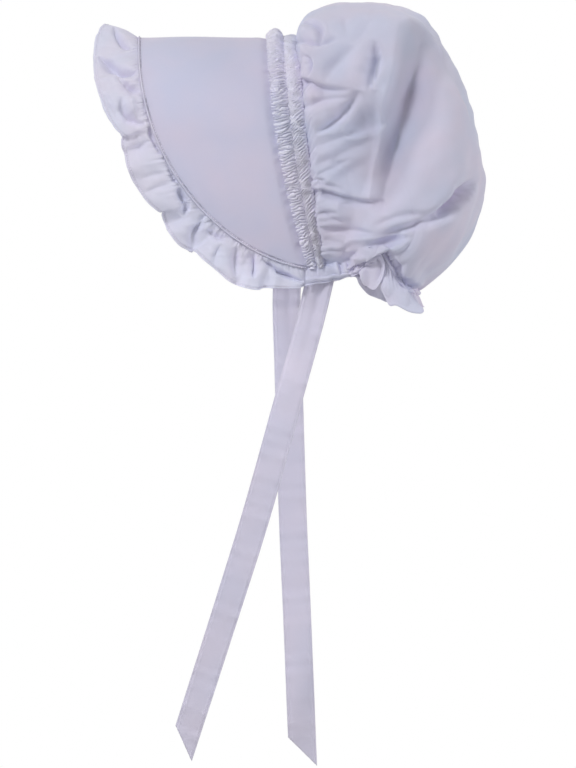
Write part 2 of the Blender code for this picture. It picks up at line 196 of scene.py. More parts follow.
RUFFLE_RIGHT = in_metres(RuffleEdge, RUFFLE_LENGTHS, (
    (0, -156.5, 16, 0, 2),
    (0.012, -158, 15.5, 0.5, 2),
    (0.03, -161, 11, 2, 3),
    (0.06, -165, 2.5, 4, 4),
    (0.1, -166, -10, 2, 3),
    (0.15, -166, -24, 6, 4),
    (0.2, -164.5, -36, 9, 4),
    (0.25, -159, -46.5, 7, 3),
    (0.29, -152, -57, -1, 1),
    (0.33, -155.5, -64, 5, 3),
    (0.38, -147, -80, 9, 4),
    (0.43, -138, -94, 5, 2),
    (0.46, -129.5, -99, -2, 0),
    (0.5, -134.5, -110.5, 7, 3),
    (0.55, -127.5, -125.5, 8, 4),
    (0.59, -119, -137.5, 3, 1),
    (0.615, -108.5, -144.5, -4, 0),
    (0.65, -106.5, -153.5, 6, 3),
    (0.69, -96, -169, 7, 3),
    (0.72, -84, -176, -3, 0),
    (0.755, -73.5, -188, 6, 3),
    (0.795, -61, -200.5, 5, 2),
    (0.825, -49, -205.5, -3, 0),
    (0.86, -38.5, -214.5, 6, 3),
    (0.9, -24.5, -214.5, -2, 0),
    (0.935, -8.5, -218, 4, 2),
    (1, 14, -216, 0, 0),
))

# Gathered band: a shirred channel behind, and a frilled heading folded over its front part. Pitch and
# depth of its pleats are shares of the settings, and calm is where they are held flat.
Pleats = namedtuple("Pleats", "pitch depth slant wander frill seed")
CHANNEL_PLEATS = Pleats(pitch=1.1, depth=1.35, slant=0.95, wander=2.4, frill=0.0, seed=11.0)
CHANNEL_CALM = Bead(height=0.6, place=1.0, width=0.10)
CHANNEL_GROWTH = 0.4
CHANNEL_START = 0.50
CHANNEL_RISE = 0.0016
BAND_KNOT = Bead(height=0.004, place=1.0, width=0.03)
HEADING_PLEATS = Pleats(pitch=1.0, depth=1.2, slant=0.35, wander=3.2, frill=0.0018, seed=3.0)
HEADING_CALM = Bead(height=0.65, place=1.0, width=0.2)
HEADING_FRILL = 0.5
HEADING_BACK = 0.50
HEADING_FRONT = -0.03
HEADING_LIFT = 0.0012
HEADING_ROUNDNESS = 0.8
HeadingRow = namedtuple("HeadingRow", "place rise")
HEADING_ROWS = (
    HeadingRow(place=0.00, rise=0.0065),
    HeadingRow(place=0.10, rise=0.0050),
    HeadingRow(place=0.25, rise=0.0026),
    HeadingRow(place=0.90, rise=0.0022),
    HeadingRow(place=1.00, rise=0.0030),
)

# Crown: arches that turn about the jaw corners, from the band over the head to the nape
CROWN_CLOSE_ROWS = (
    Bead(height=1.2, place=0.0, width=0.08),
    Bead(height=0.8, place=0.38, width=0.06),
    Bead(height=1.2, place=1.0, width=0.06),
)
PIVOT_Y = 0.0458
PIVOT_Z = -0.2000
POLE_RADIUS = 0.003
CROWN_TUCK = 0.0015
LINE_FADE = 0.35
CROWN_WAVES = (
    Wave(height=0.0018, wavelength=0.06, seed=41),
    Wave(height=0.0007, wavelength=0.025, seed=42),
)
HELD_AT_BAND = 0.010
HELD_AT_NAPE = 0.022
HELD_AT_CORNER = 0.03
NAPE_SPAN = 0.15
CrownArch = namedtuple("CrownArch", "turn reach half_width shoulder square")
CROWN_ARCHES = (
    CrownArch(turn=99.8, reach=0.2045, half_width=0.0805, shoulder=0.42, square=2.0),
    CrownArch(turn=98.4, reach=0.2180, half_width=0.0970, shoulder=0.38, square=3.3),
    CrownArch(turn=95.0, reach=0.2265, half_width=0.1035, shoulder=0.37, square=3.5),
    CrownArch(turn=88.7, reach=0.2320, half_width=0.1060, shoulder=0.39, square=3.1),
    CrownArch(turn=80.0, reach=0.2360, half_width=0.1065, shoulder=0.40, square=3.1),
    CrownArch(turn=71.0, reach=0.2300, half_width=0.1065, shoulder=0.41, square=3.0),
    CrownArch(turn=61.0, reach=0.2065, half_width=0.1080, shoulder=0.43, square=2.9),
    CrownArch(turn=50.5, reach=0.1820, half_width=0.1105, shoulder=0.45, square=2.8),
    CrownArch(turn=39.0, reach=0.1600, half_width=0.1110, shoulder=0.47, square=2.7),
    CrownArch(turn=28.0, reach=0.1440, half_width=0.1090, shoulder=0.48, square=2.6),
    CrownArch(turn=17.0, reach=0.1225, half_width=0.1040, shoulder=0.50, square=2.7),
    CrownArch(turn=5.0, reach=0.1000, half_width=0.0950, shoulder=0.50, square=2.6),
    CrownArch(turn=-5.5, reach=0.0815, half_width=0.0830, shoulder=0.50, square=2.3),
    CrownArch(turn=-14.6, reach=0.0705, half_width=0.0690, shoulder=0.50, square=2.0),
)

# Folds in millimetres, each a bent line in the side view with the face to the left: its start, the
# point that bends it, and its end. Depth is how far it is pressed in (below 0 it stands out), left
# and right are its widths to the two sides of its way, and peak is the share where it is deepest.
# A crisp fold has a straight right wall with a sharp edge, and narrow scales the widths at the end.
Fold = namedtuple("Fold", "y1 z1 y2 z2 y3 z3 depth left right peak crisp narrow", defaults=(0.0, 1.0))
FOLD_LENGTHS = ("y1", "z1", "y2", "z2", "y3", "z3", "depth", "left", "right")
CROWN_LEFT = in_metres(Fold, FOLD_LENGTHS, (
    (134.5, 45.5, 105, -54, 81, -153.5, 30, 30, 28, 0.45, 0.9, 0.42),
    (77, -45, 77, -97.5, 63, -141, 12, 12, 38, 0.5),
    (61, -5, 45.5, -14, 31.5, -40, 6, 8, 10, 0.5),
    (75, 12.5, 57.5, -19, 61, -47, -4, 6, 8, 0.5),
    (77, 0, 89, -20.5, 70, -47, 11, 1.5, 9, 0.6),
    (13, 14, 41, 17, 27, -4, 9, 1.5, 6, 0.6),
    (10.5, -2.5, 24.5, -7, 45.5, 1, 7.5, 5, 2, 0.35),
    (14, -14, 26, -19, 17.5, -34, 7, 1.5, 4, 0.5),
    (9.5, -34.5, 28, -47, 56, -45, 9.5, 3, 6, 0.3),
    (15, -61, 28, -52, 56, -51.5, 6, 4, 4, 0.4),
    (22, -82.5, 49, -77.5, 63.5, -46, 9.5, 6, 4, 0.55),
    (19, -96, 38.5, -92.5, 61, -82, 4, 4, 5, 0.4),
    (51.5, -89.5, 73.5, -82.5, 91.5, -75, -3, 4, 4, 0.5),
    (52.5, -87, 71.5, -82, 87.5, -75, 9, 16, 4, 0.5),
    (22.5, -111.5, 47, -104.5, 77, -89, 4.5, 7, 7, 0.4),
    (38.5, -106.5, 56, -124, 57.5, -139.5, 6, 14, 12, 0.5),
    (22.5, -120.5, 36.5, -117.5, 57.5, -106.5, 4, 3, 4, 0.3),
    (22.5, -123, 28, -124.5, 35, -124.5, 4, 1.5, 3, 0.3),
    (23.5, -128, 36.5, -127, 51.5, -134, 4, 2, 3, 0.3),
    (22, -132.5, 45.5, -140.5, 73.5, -144, 11, 3, 5, 0.3),
    (26, -148, 47, -160.5, 70, -169, 3.5, 6, 3, 0.5),
    (26, -153.5, 35, -151, 45.5, -152.5, 2.5, 2, 2.5, 0.3),
    (28, -160.5, 38.5, -156, 50.5, -160.5, 2.5, 2, 2.5, 0.3),
    (28, -164, 50.5, -166.5, 77, -170, 6, 2.5, 4, 0.35),
    (75, -164, 103, -148, 134.5, -157, 4, 2.5, 4, 0.5),
    (77, -167.5, 104, -160.5, 132.5, -152.5, -3, 4, 4, 0.5),
    (169.5, -122, 153, -145.5, 120.5, -165.5, 14, 4, 6.5, 0.35),
    (166.5, -125.5, 153.5, -144, 134.5, -158, 16, 4, 4.5, 0.4),
    (45.5, -144.5, 64.5, -148, 85.5, -141, 6, 2.5, 11, 0.55),
    (139.5, -148, 110, -174.5, 56, -172.5, 7, 2.5, 6, 0.45),
    (110, -172.5, 92.5, -180.5, 66.5, -182, 8, 3, 6, 0.55),
    (42, -183, 63, -172.5, 95, -168.5, -4, 6, 5, 0.5),
    (31.5, -176, 43, -176, 56, -179.5, 2, 2, 2, 0.4),
    (35, -185, 45.5, -185, 57.5, -182, 2, 2, 2, 0.4),
    (92.5, -192, 99.5, -197, 101.5, -209.5, 5, 2, 3, 0.5),
    (99.5, -200.5, 110, -206, 120.5, -214.5, -6, 7, 7, 0.5),
    (45.5, -200.5, 50, -192, 63, -185, 6, 3, 5, 0.5),
    (54, -200.5, 61, -195.5, 57.5, -186.5, 3, 2.5, 3, 0.5),
    (23.5, -195.5, 28, -193.5, 32.5, -196, -4, 4, 4, 0.5),
    (56, -194.5, 62, -192, 70, -192, -4.5, 5, 5, 0.5),
    (70, -195.5, 66.5, -199.5, 61, -203, 5, 2, 3, 0.5),
    (50, -192, 53.5, -196, 54, -200.5, 4, 2, 3, 0.5),
    (33, -190, 35, -195.5, 34, -200.5, 4, 2, 2.5, 0.5),
    (70, -179.5, 85.5, -176, 103, -172.5, 5, 3, 6, 0.5),
    (118.5, 14, 112, -19, 103, -64.5, 5, 16, 20, 0.5),
    (75, 26.5, 70, 10.5, 56, -3.5, 4, 12, 3, 0.5),
    (47, 21, 54, 12.5, 49, 0, 2.5, 3, 4, 0.5),
    (134.5, -62.5, 131, -97.5, 117, -132.5, -3, 14, 14, 0.5),
))
CROWN_RIGHT = in_metres(Fold, FOLD_LENGTHS, (
    (113.5, 7, 105, -71.5, 82, -146.5, 7, 30, 45, 0.5),
    (108.5, -1.5, 106.5, -75.5, 84, -141, 8, 16, 5, 0.6),
    (121.5, 30, 113.5, 7, 108.5, -27.5, 4, 20, 16, 0.5),
    (78.5, -10.5, 87.5, -27.5, 73.5, -50.5, 5, 2.5, 9, 0.5),
    (17.5, 9, 35, 12.5, 35, -3.5, 3, 2, 5, 0.6),
    (14, -14, 35, -10.5, 57.5, -1.5, 3.5, 2.5, 3, 0.3),
    (15, -43.5, 36, -51.5, 70, -43.5, 4.5, 2.5, 4, 0.35),
    (17.5, -71.5, 42, -64.5, 66.5, -57.5, 3, 3, 5, 0.5),
    (22.5, -97.5, 49, -94, 73.5, -78.5, 3.5, 4, 6, 0.5),
    (24.5, -122, 47, -117, 71.5, -106.5, 2.5, 4, 5, 0.4),
    (25.5, -127, 49, -137.5, 85.5, -139.5, 5.5, 2.5, 4, 0.25),
    (29.5, -153.5, 51.5, -160.5, 73.5, -164, 4, 2.5, 4, 0.4),
    (70, -167.5, 107.5, -158.5, 139, -144.5, -3, 7, 7, 0.5),
    (155.5, -132.5, 139.5, -155, 101.5, -176, 9, 5, 12, 0.2),
    (38.5, -176, 56, -176, 85.5, -179.5, 3, 3, 3, 0.5),
))
RUFFLE_CREASES = in_metres(Fold, FOLD_LENGTHS, (
    (-151, 12.5, -146, 0.5, -135.5, -8, 9, 2, 4, 0.6),
    (-165, -13.5, -150.5, -25, -128.5, -29, 12, 2, 6, 0.6),
    (-148.5, -31, -138, -42.5, -126, -45, 7.5, 2, 5, 0.7),
    (-143.5, -50, -144, -71, -122.5, -74.5, 9, 3, 5, 0.5),
    (-133, -48.5, -140, -60, -130, -67.5, -4.5, 4, 4, 0.5),
    (-159, -46.5, -152, -64, -143.5, -73, 3.5, 4, 4, 0.5),
    (-119, -76.5, -113.5, -88.5, -107.5, -101, 7.5, 2, 3, 0.4),
    (-139, -97.5, -127.5, -97.5, -119, -88.5, 6, 5, 5, 0.5),
    (-102, -113, -96, -121, -91, -128, 6, 2, 3, 0.5),
    (-126.5, -122.5, -117, -120, -105.5, -117.5, 2, 3, 3, 0.6),
    (-123, -135, -112, -129, -98, -126, 3, 3, 3, 0.6),
    (-94.5, -129.5, -88, -137.5, -86.5, -147, 9, 3, 4, 0.5),
    (-84, -143, -87.5, -150, -90, -155, 6.5, 2, 4, 0.5),
    (-71, -153.5, -76, -169, -83, -185.5, 9.5, 3, 7, 0.5),
    (-69, -168, -59.5, -175, -48, -171.5, 5.5, 2.5, 3, 0.5),
    (-43.5, -181.5, -41, -193.5, -43.5, -207.5, 7.5, 2.5, 5, 0.5),
    (-29.5, -185.5, -27, -196, -28, -209, 10.5, 3, 5, 0.5),
    (-56, -179.5, -63, -188, -61, -200.5, 5.5, 4, 4, 0.4),
    (-21, -191.5, -5, -205, 15.5, -212, 8.5, 1.5, 2.5, 0.55),
))
FRILL_CREASES = in_metres(Fold, FOLD_LENGTHS, (
    (88, -208, 88.5, -217, 90.5, -225, 3, 3, 4, 0.5),
    (101, -214, 103, -222, 105, -233, 2.5, 3, 4, 0.5),
    (70, -195, 68, -206, 72, -216, 4, 2, 3, 0.5),
    (80, -192, 85, -200, 79, -213, -3, 2.5, 2.5, 0.5),
))
CASING_CREASES = in_metres(Fold, FOLD_LENGTHS, (
    (42.5, -191, 44, -199, 47.5, -207, 4.5, 2, 3, 0.5),
    (53, -190, 52, -198, 54, -205, 4, 2, 3, 0.5),
    (57, -189, 62, -194, 66, -196, -4, 5, 5, 0.5),
    (23, -197, 33, -203, 43, -201, 2.5, 2, 4, 0.5),
))
CREST_BLEND = 0.03
DEEP_START = 0.010
DEEP_BLEND = 0.055
DEEP_FOLD = 0.02
# Painted shade in the crown's deep folds: folds deeper than the first number darken its colour, from
# the start depth on, by up to the last share
SHADED_FOLD = 0.0105
PAINTED_SHADE_START = 0.003
PAINTED_SHADE_STRENGTH = 0.19
FOLD_SEGMENTS = 16
FOLD_SWELL = 0.7
FOLD_ROUNDNESS = 1.6
FOLD_TAPER = 0.4
FOLD_WAVER = 0.08
FOLD_WAVER_TURNS = 21.0
FOLD_WAVER_SHIFT = 300.0

# Gathers: wrinkles that leave a sewn edge, each wavelength strongest at its own distance
Gather = namedtuple("Gather", "wavelength height reach seed")
BAND_GATHERS = (
    Gather(wavelength=0.0042, height=0.0010, reach=0.0024, seed=1),
    Gather(wavelength=0.0095, height=0.0007, reach=0.0065, seed=2),
    Gather(wavelength=0.0200, height=0.0005, reach=0.012, seed=3),
)
NAPE_GATHERS = (
    Gather(wavelength=0.0060, height=0.0004, reach=0.0020, seed=5),
    Gather(wavelength=0.0130, height=0.0004, reach=0.0040, seed=6),
    Gather(wavelength=0.0300, height=0.0006, reach=0.0120, seed=7),
    Gather(wavelength=0.0480, height=0.0016, reach=0.0340, seed=12),
)
RUFFLE_GATHERS = (
    Gather(wavelength=0.0045, height=0.0007, reach=0.0022, seed=8),
    Gather(wavelength=0.0130, height=0.0005, reach=0.0055, seed=9),
)

# Neck edge: a row for each place from the centre back to the front of a jaw corner, in millimetres.
# Casing is its width, and rise and out are how far the elastic pulls it up and out.
NeckEdge = namedtuple("NeckEdge", "place casing rise out")
NECK_EDGE_LENGTHS = ("casing", "rise", "out")
CORNER_FRONT_Y = 0.0170
NECK_DROP = 0.0006
CASING_TILT = radians(12.0)
CASING_TUCK = 0.004
CASING_BULGE = 0.0014
CASING_SINK = 0.0012
CASING_HEM = Bead(height=0.0016, place=0.92, width=0.08)
CASING_GROOVE = Bead(height=0.0014, place=0.74, width=0.06)
CASING_PINCH = Wave(height=0.0006, wavelength=0.008, seed=51)
CASING_WAVE = Wave(height=0.0010, wavelength=0.016, seed=52)
CASING_DROOP = Wave(height=0.0007, wavelength=0.014, seed=53)
CASING_CALM = 0.8
CALM_START = 0.74
CALM_RUN = 0.06
NAPE_PULL = 0.30
NECK_LEFT = in_metres(NeckEdge, NECK_EDGE_LENGTHS, (
    (0, 7, 0, 0),
    (0.2, 7, 0, 0),
    (0.3, 7, 0, 3),
    (0.4, 6, 0.5, 9),
    (0.45, 5.5, 6.5, 13),
    (0.5, 5, 17, 16),
    (0.55, 5, 24, 16),
    (0.6, 5, 17, 12),
    (0.65, 4, 8.5, 7),
    (0.7, 4, 2.5, 3),
    (0.75, 6.5, 0, 1),
    (0.8, 10, 0, 0),
    (0.86, 12, 0, 0),
    (1, 16, 0, 0),
))
NECK_RIGHT = in_metres(NeckEdge, NECK_EDGE_LENGTHS, (
    (0, 7, 0, 0),
    (0.24, 7, 1, 0),
    (0.33, 7, 3, 0),
    (0.41, 7, 5, 0),
    (0.5, 6.5, 6, 0),
    (0.58, 6, 5, 0),
    (0.7, 6.5, 3, 0),
    (0.8, 9, 0, 0),
    (1, 16, 0, 0),
))

# Neck frill: where its free edge is in the side view, and how far it stands out, in millimetres
FrillEdge = namedtuple("FrillEdge", "place y z out")
FRILL_LENGTHS = ("y", "z", "out")
FRILL_END = 0.72
FRILL_TUCK = 0.0008
FRILL_WIDTH = 0.018
FRILL_HEM = 0.90
FRILL_HEM_FADE = 0.03
FRILL_SPREAD = 0.8
FRILL_GROWTH = 6.0
FRILL_LEFT = in_metres(FrillEdge, FRILL_LENGTHS, (
    (0, 114.5, -233.5, 4),
    (0.05, 114.5, -233, 0),
    (0.1, 113.5, -234.5, 7),
    (0.16, 112.5, -233, 1),
    (0.23, 112.5, -234.5, 6),
    (0.28, 112.5, -233.5, 2),
    (0.33, 113.5, -230.5, 0),
    (0.375, 116, -236.5, 4),
    (0.405, 112.5, -240, 8),
    (0.445, 103, -239, 7),
    (0.48, 94.5, -233.5, 4),
    (0.515, 89, -230.5, -1),
    (0.53, 85.5, -220, -3),
    (0.55, 82, -202.5, -2),
    (0.565, 77, -187.5, 3),
    (0.58, 72.5, -181.5, 7),
    (0.6, 82, -185.5, 9),
    (0.62, 87.5, -197, 9),
    (0.635, 85.5, -210, 8),
    (0.65, 79.5, -219, 6),
    (0.665, 73, -216.5, 3),
    (0.68, 67, -206, 0),
    (0.7, 62, -206.5, 0),
    (0.72, 57, -208.5, 0),
))
FRILL_RIGHT = in_metres(FrillEdge, FRILL_LENGTHS, (
    (0, 115, -233.5, 4),
    (0.07, 114, -232, -1),
    (0.14, 113, -233.5, 7),
    (0.22, 110.5, -232, -1),
    (0.3, 107, -232.5, 7),
    (0.38, 100, -231, 0),
    (0.44, 93.5, -231, 6),
    (0.5, 87.5, -228.5, -2),
    (0.56, 79.5, -225.5, 5),
    (0.61, 71, -221, 0),
    (0.65, 65.5, -214, 3),
    (0.69, 61.5, -207, 1),
    (0.72, 56, -206.5, 0),
))

# Ties: ribbons whose middle line runs through these points, with ends cut on the slant
TiePoint = namedtuple("TiePoint", "x y z twist")
TIE_WIDTH = 0.0245
TIE_SLANT = 0.026
TIE_HEM = Bead(height=0.0005, place=0.90, width=0.07)
TIE_GROOVE = Bead(height=0.0003, place=0.76, width=0.06)
TIE_BEND = Wave(height=0.0006, wavelength=0.11, seed=6)
TIE_COCKLE = Wave(height=0.0005, wavelength=0.018, seed=0)
TIE_WAVE = Wave(height=0.0007, wavelength=0.05, seed=0)
TIE_CREASE = Bead(height=0.0035, place=0.62, width=0.16)
TIE_CREASE_DRIFT = 0.8
TIE_CREASE_LENGTH = 0.045
TIE_LEFT_LINE = (
    TiePoint(x=0.0613, y=0.0313, z=-0.2030, twist=0.0),
    TiePoint(x=0.0590, y=0.0190, z=-0.2550, twist=-14.0),
    TiePoint(x=0.0560, y=-0.0006, z=-0.3250, twist=-8.0),
    TiePoint(x=0.0530, y=-0.0250, z=-0.4130, twist=0.0),
    TiePoint(x=0.0500, y=-0.0495, z=-0.4920, twist=12.0),
    TiePoint(x=0.0470, y=-0.0896, z=-0.6170, twist=20.0),
)
TIE_RIGHT_LINE = (
    TiePoint(x=-0.0604, y=0.0056, z=-0.1930, twist=0.0),
    TiePoint(x=-0.0590, y=0.0006, z=-0.2200, twist=-6.0),
    TiePoint(x=-0.0570, y=0.0022, z=-0.2900, twist=5.0),
    TiePoint(x=-0.0550, y=0.0058, z=-0.4130, twist=-3.0),
    TiePoint(x=-0.0520, y=0.0100, z=-0.5100, twist=4.0),
    TiePoint(x=-0.0500, y=0.0146, z=-0.6265, twist=-5.0),
)

# Stage
METRES_PER_PIXEL = 0.00088
IMAGE_HEIGHT = 768
SENSOR = 0.036
VIEW_CENTRE = Vector((0.0, 0.0018, -0.3018))
FLOOR_LEVEL = -1.6
FLOOR_RADIUS = 12.0
BACKDROP_LEVEL = 1.0
SURROUND_LEVEL = 0.42
Lamp = namedtuple("Lamp", "name x y z size power")
LAMPS = (
    Lamp(name="key", x=3.9, y=-3.0, z=3.3, size=1.4, power=176.0),
    Lamp(name="fill", x=1.5, y=4.8, z=0.6, size=2.0, power=72.0),
    Lamp(name="low", x=2.2, y=-3.6, z=-1.2, size=1.2, power=10.0),
)
TIE_LAMP = Lamp(name="tie_lamp", x=2.2, y=-0.9, z=-0.9, size=0.06, power=230.0)
TIE_LAMP_CONE = radians(2.5)
TIE_TOP = Vector((-0.06, -0.018, -0.236))

# Cottons: how strongly each is crumpled, and how much brighter the thread is than the ruffle
CRUMPLES = {"ruffle": 9.0, "crown": 13.0, "brim": 3.5, "band": 12.0, "tie": 6.0}
THREAD_CRUMPLE = 0.2
THREAD_GAIN = 1.3

# Stitches: their spacing is a share of the setting, and their length is a share of the spacing. Their
# rows run at these depths, each lifted off the cloth so far.
Stitch = namedtuple("Stitch", "spacing length width height slant")
SEAM_STITCH = Stitch(spacing=1.0, length=0.72, width=0.0011, height=0.0009, slant=0.0)
BAND_STITCH = Stitch(spacing=1.3, length=0.5, width=0.0005, height=0.0004, slant=0.0)
HEM_STITCH = Stitch(spacing=0.9, length=0.9, width=0.0005, height=0.0004, slant=0.9)
SEAM_ROW = STITCH_INSET / EDGE_ZONE * EDGE_ROWS
BAND_ROWS = ((0.54, 0.0006), (0.97, 0.0008))
HEM_ROW = (0.88, -0.0006)

# Steps of lines and slopes that are worked out from points
LINE_SAMPLES = 400
NUDGE = 1e-4
NECK_REACH = 0.02


def ease(share):
    """Soft step from 0 to 1."""
    share = np.clip(share, 0.0, 1.0)
    return share * share * (3.0 - 2.0 * share)


def through_rows(rows, place):
    """Smooth curve through evenly spaced rows, from 0 at the first to 1 at the last, by column."""
    table = np.array(rows, float)
    position = np.clip(place, 0.0, 1.0) * (len(table) - 1)
    index = np.minimum(position.astype(int), len(table) - 2)
    share = (position - index)[..., None]
    near = [table[np.clip(index + step, 0, len(table) - 1)] for step in (-1, 0, 1, 2)]
    bend = near[3] - near[0] + 3.0 * (near[1] - near[2])
    dip = 2.0 * near[0] - 5.0 * near[1] + 4.0 * near[2] - near[3]
    value = near[1] + 0.5 * share * (near[2] - near[0] + share * (dip + share * bend))
    return type(rows[0])(*np.moveaxis(value, -1, 0))


def between_rows(rows, place):
    """Eased change from row to row, where each row gives its own place, by column."""
    table = np.array(rows, float)
    index = np.clip(np.searchsorted(table[:, 0], place, side="right") - 1, 0, len(table) - 2)
    first = table[index]
    second = table[index + 1]
    share = ease((place - first[..., 0]) / (second[..., 0] - first[..., 0]))[..., None]
    return type(rows[0])(*np.moveaxis(first + (second - first) * share, -1, 0))


def along_rows(rows, place):
    """Smooth curve through rows, where each row gives its own place, by column."""
    table = np.array(rows, float)
    spots = table[:, 0]
    slopes = np.gradient(table, spots, axis=0)
    index = np.clip(np.searchsorted(spots, place, side="right") - 1, 0, len(table) - 2)
    gap = (spots[index + 1] - spots[index])[..., None]
    share = (place - spots[index])[..., None] / gap
    first, second = table[index], table[index + 1]
    rise = slopes[index] * gap * share * (1.0 - share) ** 2
    fall = slopes[index + 1] * gap * share ** 2 * (1.0 - share)
    value = first + (second - first) * ease(share) + rise - fall
    return type(rows[0])(*np.moveaxis(value, -1, 0))


def ripple(along, wavelength, seed):
    """Smooth uneven wave from about -1 to 1 along a line."""
    draw = np.random.default_rng(seed)
    total = 0.0
    for rate in (0.62, 0.83, 1.0, 1.27, 1.61):
        total = total + np.sin(2.0 * pi * (rate * along / wavelength + draw.random()))
    return total / 2.6


def rumple(points, wavelength, seed):
    """Smooth uneven wave from about -1 to 1 through space."""
    draw = np.random.default_rng(seed)
    total = 0.0
    for _ in range(6):
        direction = draw.normal(size=3)
        direction *= draw.uniform(0.6, 1.5) / np.linalg.norm(direction)
        total = total + np.sin(2.0 * pi * (points @ direction / wavelength + draw.random()))
    return total / 2.8


def rumpled(points, *waves):
    """Height of soft waves through space."""
    return sum(wave.height * rumple(points, wave.wavelength, wave.seed) for wave in waves)


def rippled(along, wave):
    """Height of an uneven wave along a line."""
    return wave.height * ripple(along, wave.wavelength, wave.seed)


def pinched(wave, rounding):
    """A wave from about -1 to 1 made round above and pinched below."""
    return 2.0 * np.sqrt(wave * wave + rounding) - 0.9


def gathered(gathers, along, distance):
    """Height of the wrinkles that leave a sewn edge, rounded above and pinched below."""
    height = 0.0
    for gather in gathers:
        shape = pinched(ripple(along, gather.wavelength, gather.seed), 0.01)
        share = distance / gather.reach
        height = height + gather.height * shape * (share + 0.25) * np.exp(0.75 - share)
    return height


def arch_profile(side, half_width, height, shoulder, corner, square=2.0):
    """Half width and drop below the crest, with side from 0 at the crest to 1 at the corner."""
    top_drop = shoulder * height
    top_run = 0.5 * pi * np.hypot(half_width, top_drop) / np.sqrt(2.0)
    side_run = np.hypot(height - top_drop, half_width - corner)
    top_share = top_run / (top_run + side_run)
    angle = 0.5 * pi * np.minimum(side / top_share, 1.0)
    share = np.clip((side - top_share) / (1.0 - top_share), 0.0, 1.0)
    over = side <= top_share
    sine, cosine = np.sin(angle), np.clip(np.cos(angle), 0.0, 1.0)
    radius = (sine ** square + cosine ** square) ** (-1.0 / square)
    x = np.where(over, half_width * sine * radius, half_width - (half_width - corner) * share ** 2)
    drop = np.where(over, top_drop * (1.0 - cosine * radius), top_drop + (height - top_drop) * share)
    return x, drop


def level_of(z):
    """Share of the way down from the crest to the jaw corner."""
    return np.clip(z / CORNER_LEVEL, 0.0, 1.0)


def seam_y(z):
    """Front seam of the brim, seen from the side."""
    fullness = (1.0 - level_of(z) ** SEAM_ROUNDNESS) ** SEAM_FULLNESS
    return SEAM_CREST + SEAM_SWEEP * (1.0 - fullness)


def band_front_y(z):
    """Front edge of the band, where the brim ends."""
    level = level_of(z)
    return BAND_FRONT_CREST + BAND_FRONT_LEAN * level + BAND_FRONT_CURVE * level ** 2


def band_back_y(z):
    """Back edge of the band, where the crown begins."""
    level = level_of(z)
    return BAND_BACK_CREST + BAND_BACK_LEAN * level + BAND_BACK_CURVE * level ** 2


def head_arch(side, y, inset=0.0):
    """Points of the arch over the head at a depth y, flaring a little towards the face."""
    half_width = BAND_HALF_WIDTH + BRIM_FLARE * np.maximum(0.0, BAND_FRONT_CREST - y) - inset
    crest = BAND_CREST - inset
    x, drop = arch_profile(side, half_width, crest - CORNER_LEVEL, SHOULDER_SHARE,
                           CORNER_HALF_WIDTH - inset)
    return np.stack(np.broadcast_arrays(x, y, crest - drop), axis=-1)


def unit(vectors):
    """Vectors of length 1."""
    return vectors / np.maximum(np.linalg.norm(vectors, axis=-1, keepdims=True), 1e-12)


def arch_outward(side, y):
    """Unit vectors out of the head arch, square to it and to Y."""
    run = head_arch(np.minimum(1.0, side + NUDGE), y) - head_arch(np.maximum(0.0, side - NUDGE), y)
    return unit(np.stack([-run[..., 2], np.zeros_like(run[..., 0]), run[..., 0]], axis=-1))


def seam_point(side, inset=0.0):
    """Points of the brim's front seam."""
    level = head_arch(side, 0.0, inset)[..., 2]
    return head_arch(side, seam_y(level), inset)


def run_lengths(points):
    """Length along a line of points, from its start to each point."""
    return np.concatenate([[0.0], np.cumsum(np.linalg.norm(np.diff(points, axis=0), axis=1))])


def point_along(points, lengths, distance):
    """Points of a line at distances from its start."""
    return np.stack([np.interp(distance, lengths, points[:, axis]) for axis in range(3)], axis=-1)


SEAM_SIDES = np.linspace(0.0, 1.0, LINE_SAMPLES)
SEAM_LENGTHS = run_lengths(seam_point(SEAM_SIDES))
SEAM_LENGTH = SEAM_LENGTHS[-1]
BAND_LENGTH = run_lengths(head_arch(SEAM_SIDES, np.zeros(LINE_SAMPLES)))[-1]


def seam_side(place):
    """Arch position at a share of the front seam's length."""
    return np.interp(place * SEAM_LENGTH, SEAM_LENGTHS, SEAM_SIDES)


def mirrored(points, place):
    """Points of a left half, turned over to the right where place is below 0."""
    points = np.array(points)
    points[..., 0] = np.where(place == 0.0, 0.0, points[..., 0] * np.sign(place))
    return points


def outward_of(points):
    """Unit vectors out of a grid of points."""
    along = np.gradient(points, axis=0)
    across = np.gradient(points, axis=1)
    return unit(np.cross(along, across))


def spaced(density, count):
    """Places from 0 to 1, closer together where the density is higher."""
    fine = np.linspace(0.0, 1.0, 2000)
    total = np.concatenate([[0.0], np.cumsum(density(0.5 * (fine[1:] + fine[:-1])))])
    return np.interp(np.linspace(0.0, total[-1], count), total, fine)


def hump(value, centre, width):
    """Bell from 0 to 1 round a centre."""
    return np.exp(-((value - centre) / width) ** 2)


def beaded(value, bead):
    """Height of a bead at a distance or share."""
    return bead.height * hump(value, bead.place, bead.width)


class Value:
    """A number in a node tree; sums and products of it add Math nodes."""

    def __init__(self, nodes, socket):
        self.nodes = nodes
        self.socket = socket

    def math(self, operation, *others):
        """Math node on this value and others."""
        inputs = {index: value for index, value in enumerate((self, *others))}
        return self.nodes.value("ShaderNodeMath", {"operation": operation}, inputs)

    def flipped(self, operation, other):
        """Math node with this value second."""
        return self.nodes.value("ShaderNodeMath", {"operation": operation}, {0: other, 1: self})

    def __add__(self, other):
        return self.math("ADD", other)

    def __radd__(self, other):
        return self.math("ADD", other)

    def __sub__(self, other):
        return self.math("SUBTRACT", other)

    def __rsub__(self, other):
        return self.flipped("SUBTRACT", other)

    def __mul__(self, other):
        return self.math("MULTIPLY", other)

    def __rmul__(self, other):
        return self.math("MULTIPLY", other)

    def __truediv__(self, other):
        return self.math("DIVIDE", other)

    def __rtruediv__(self, other):
        return self.flipped("DIVIDE", other)

    def __abs__(self):
        return self.math("ABSOLUTE")


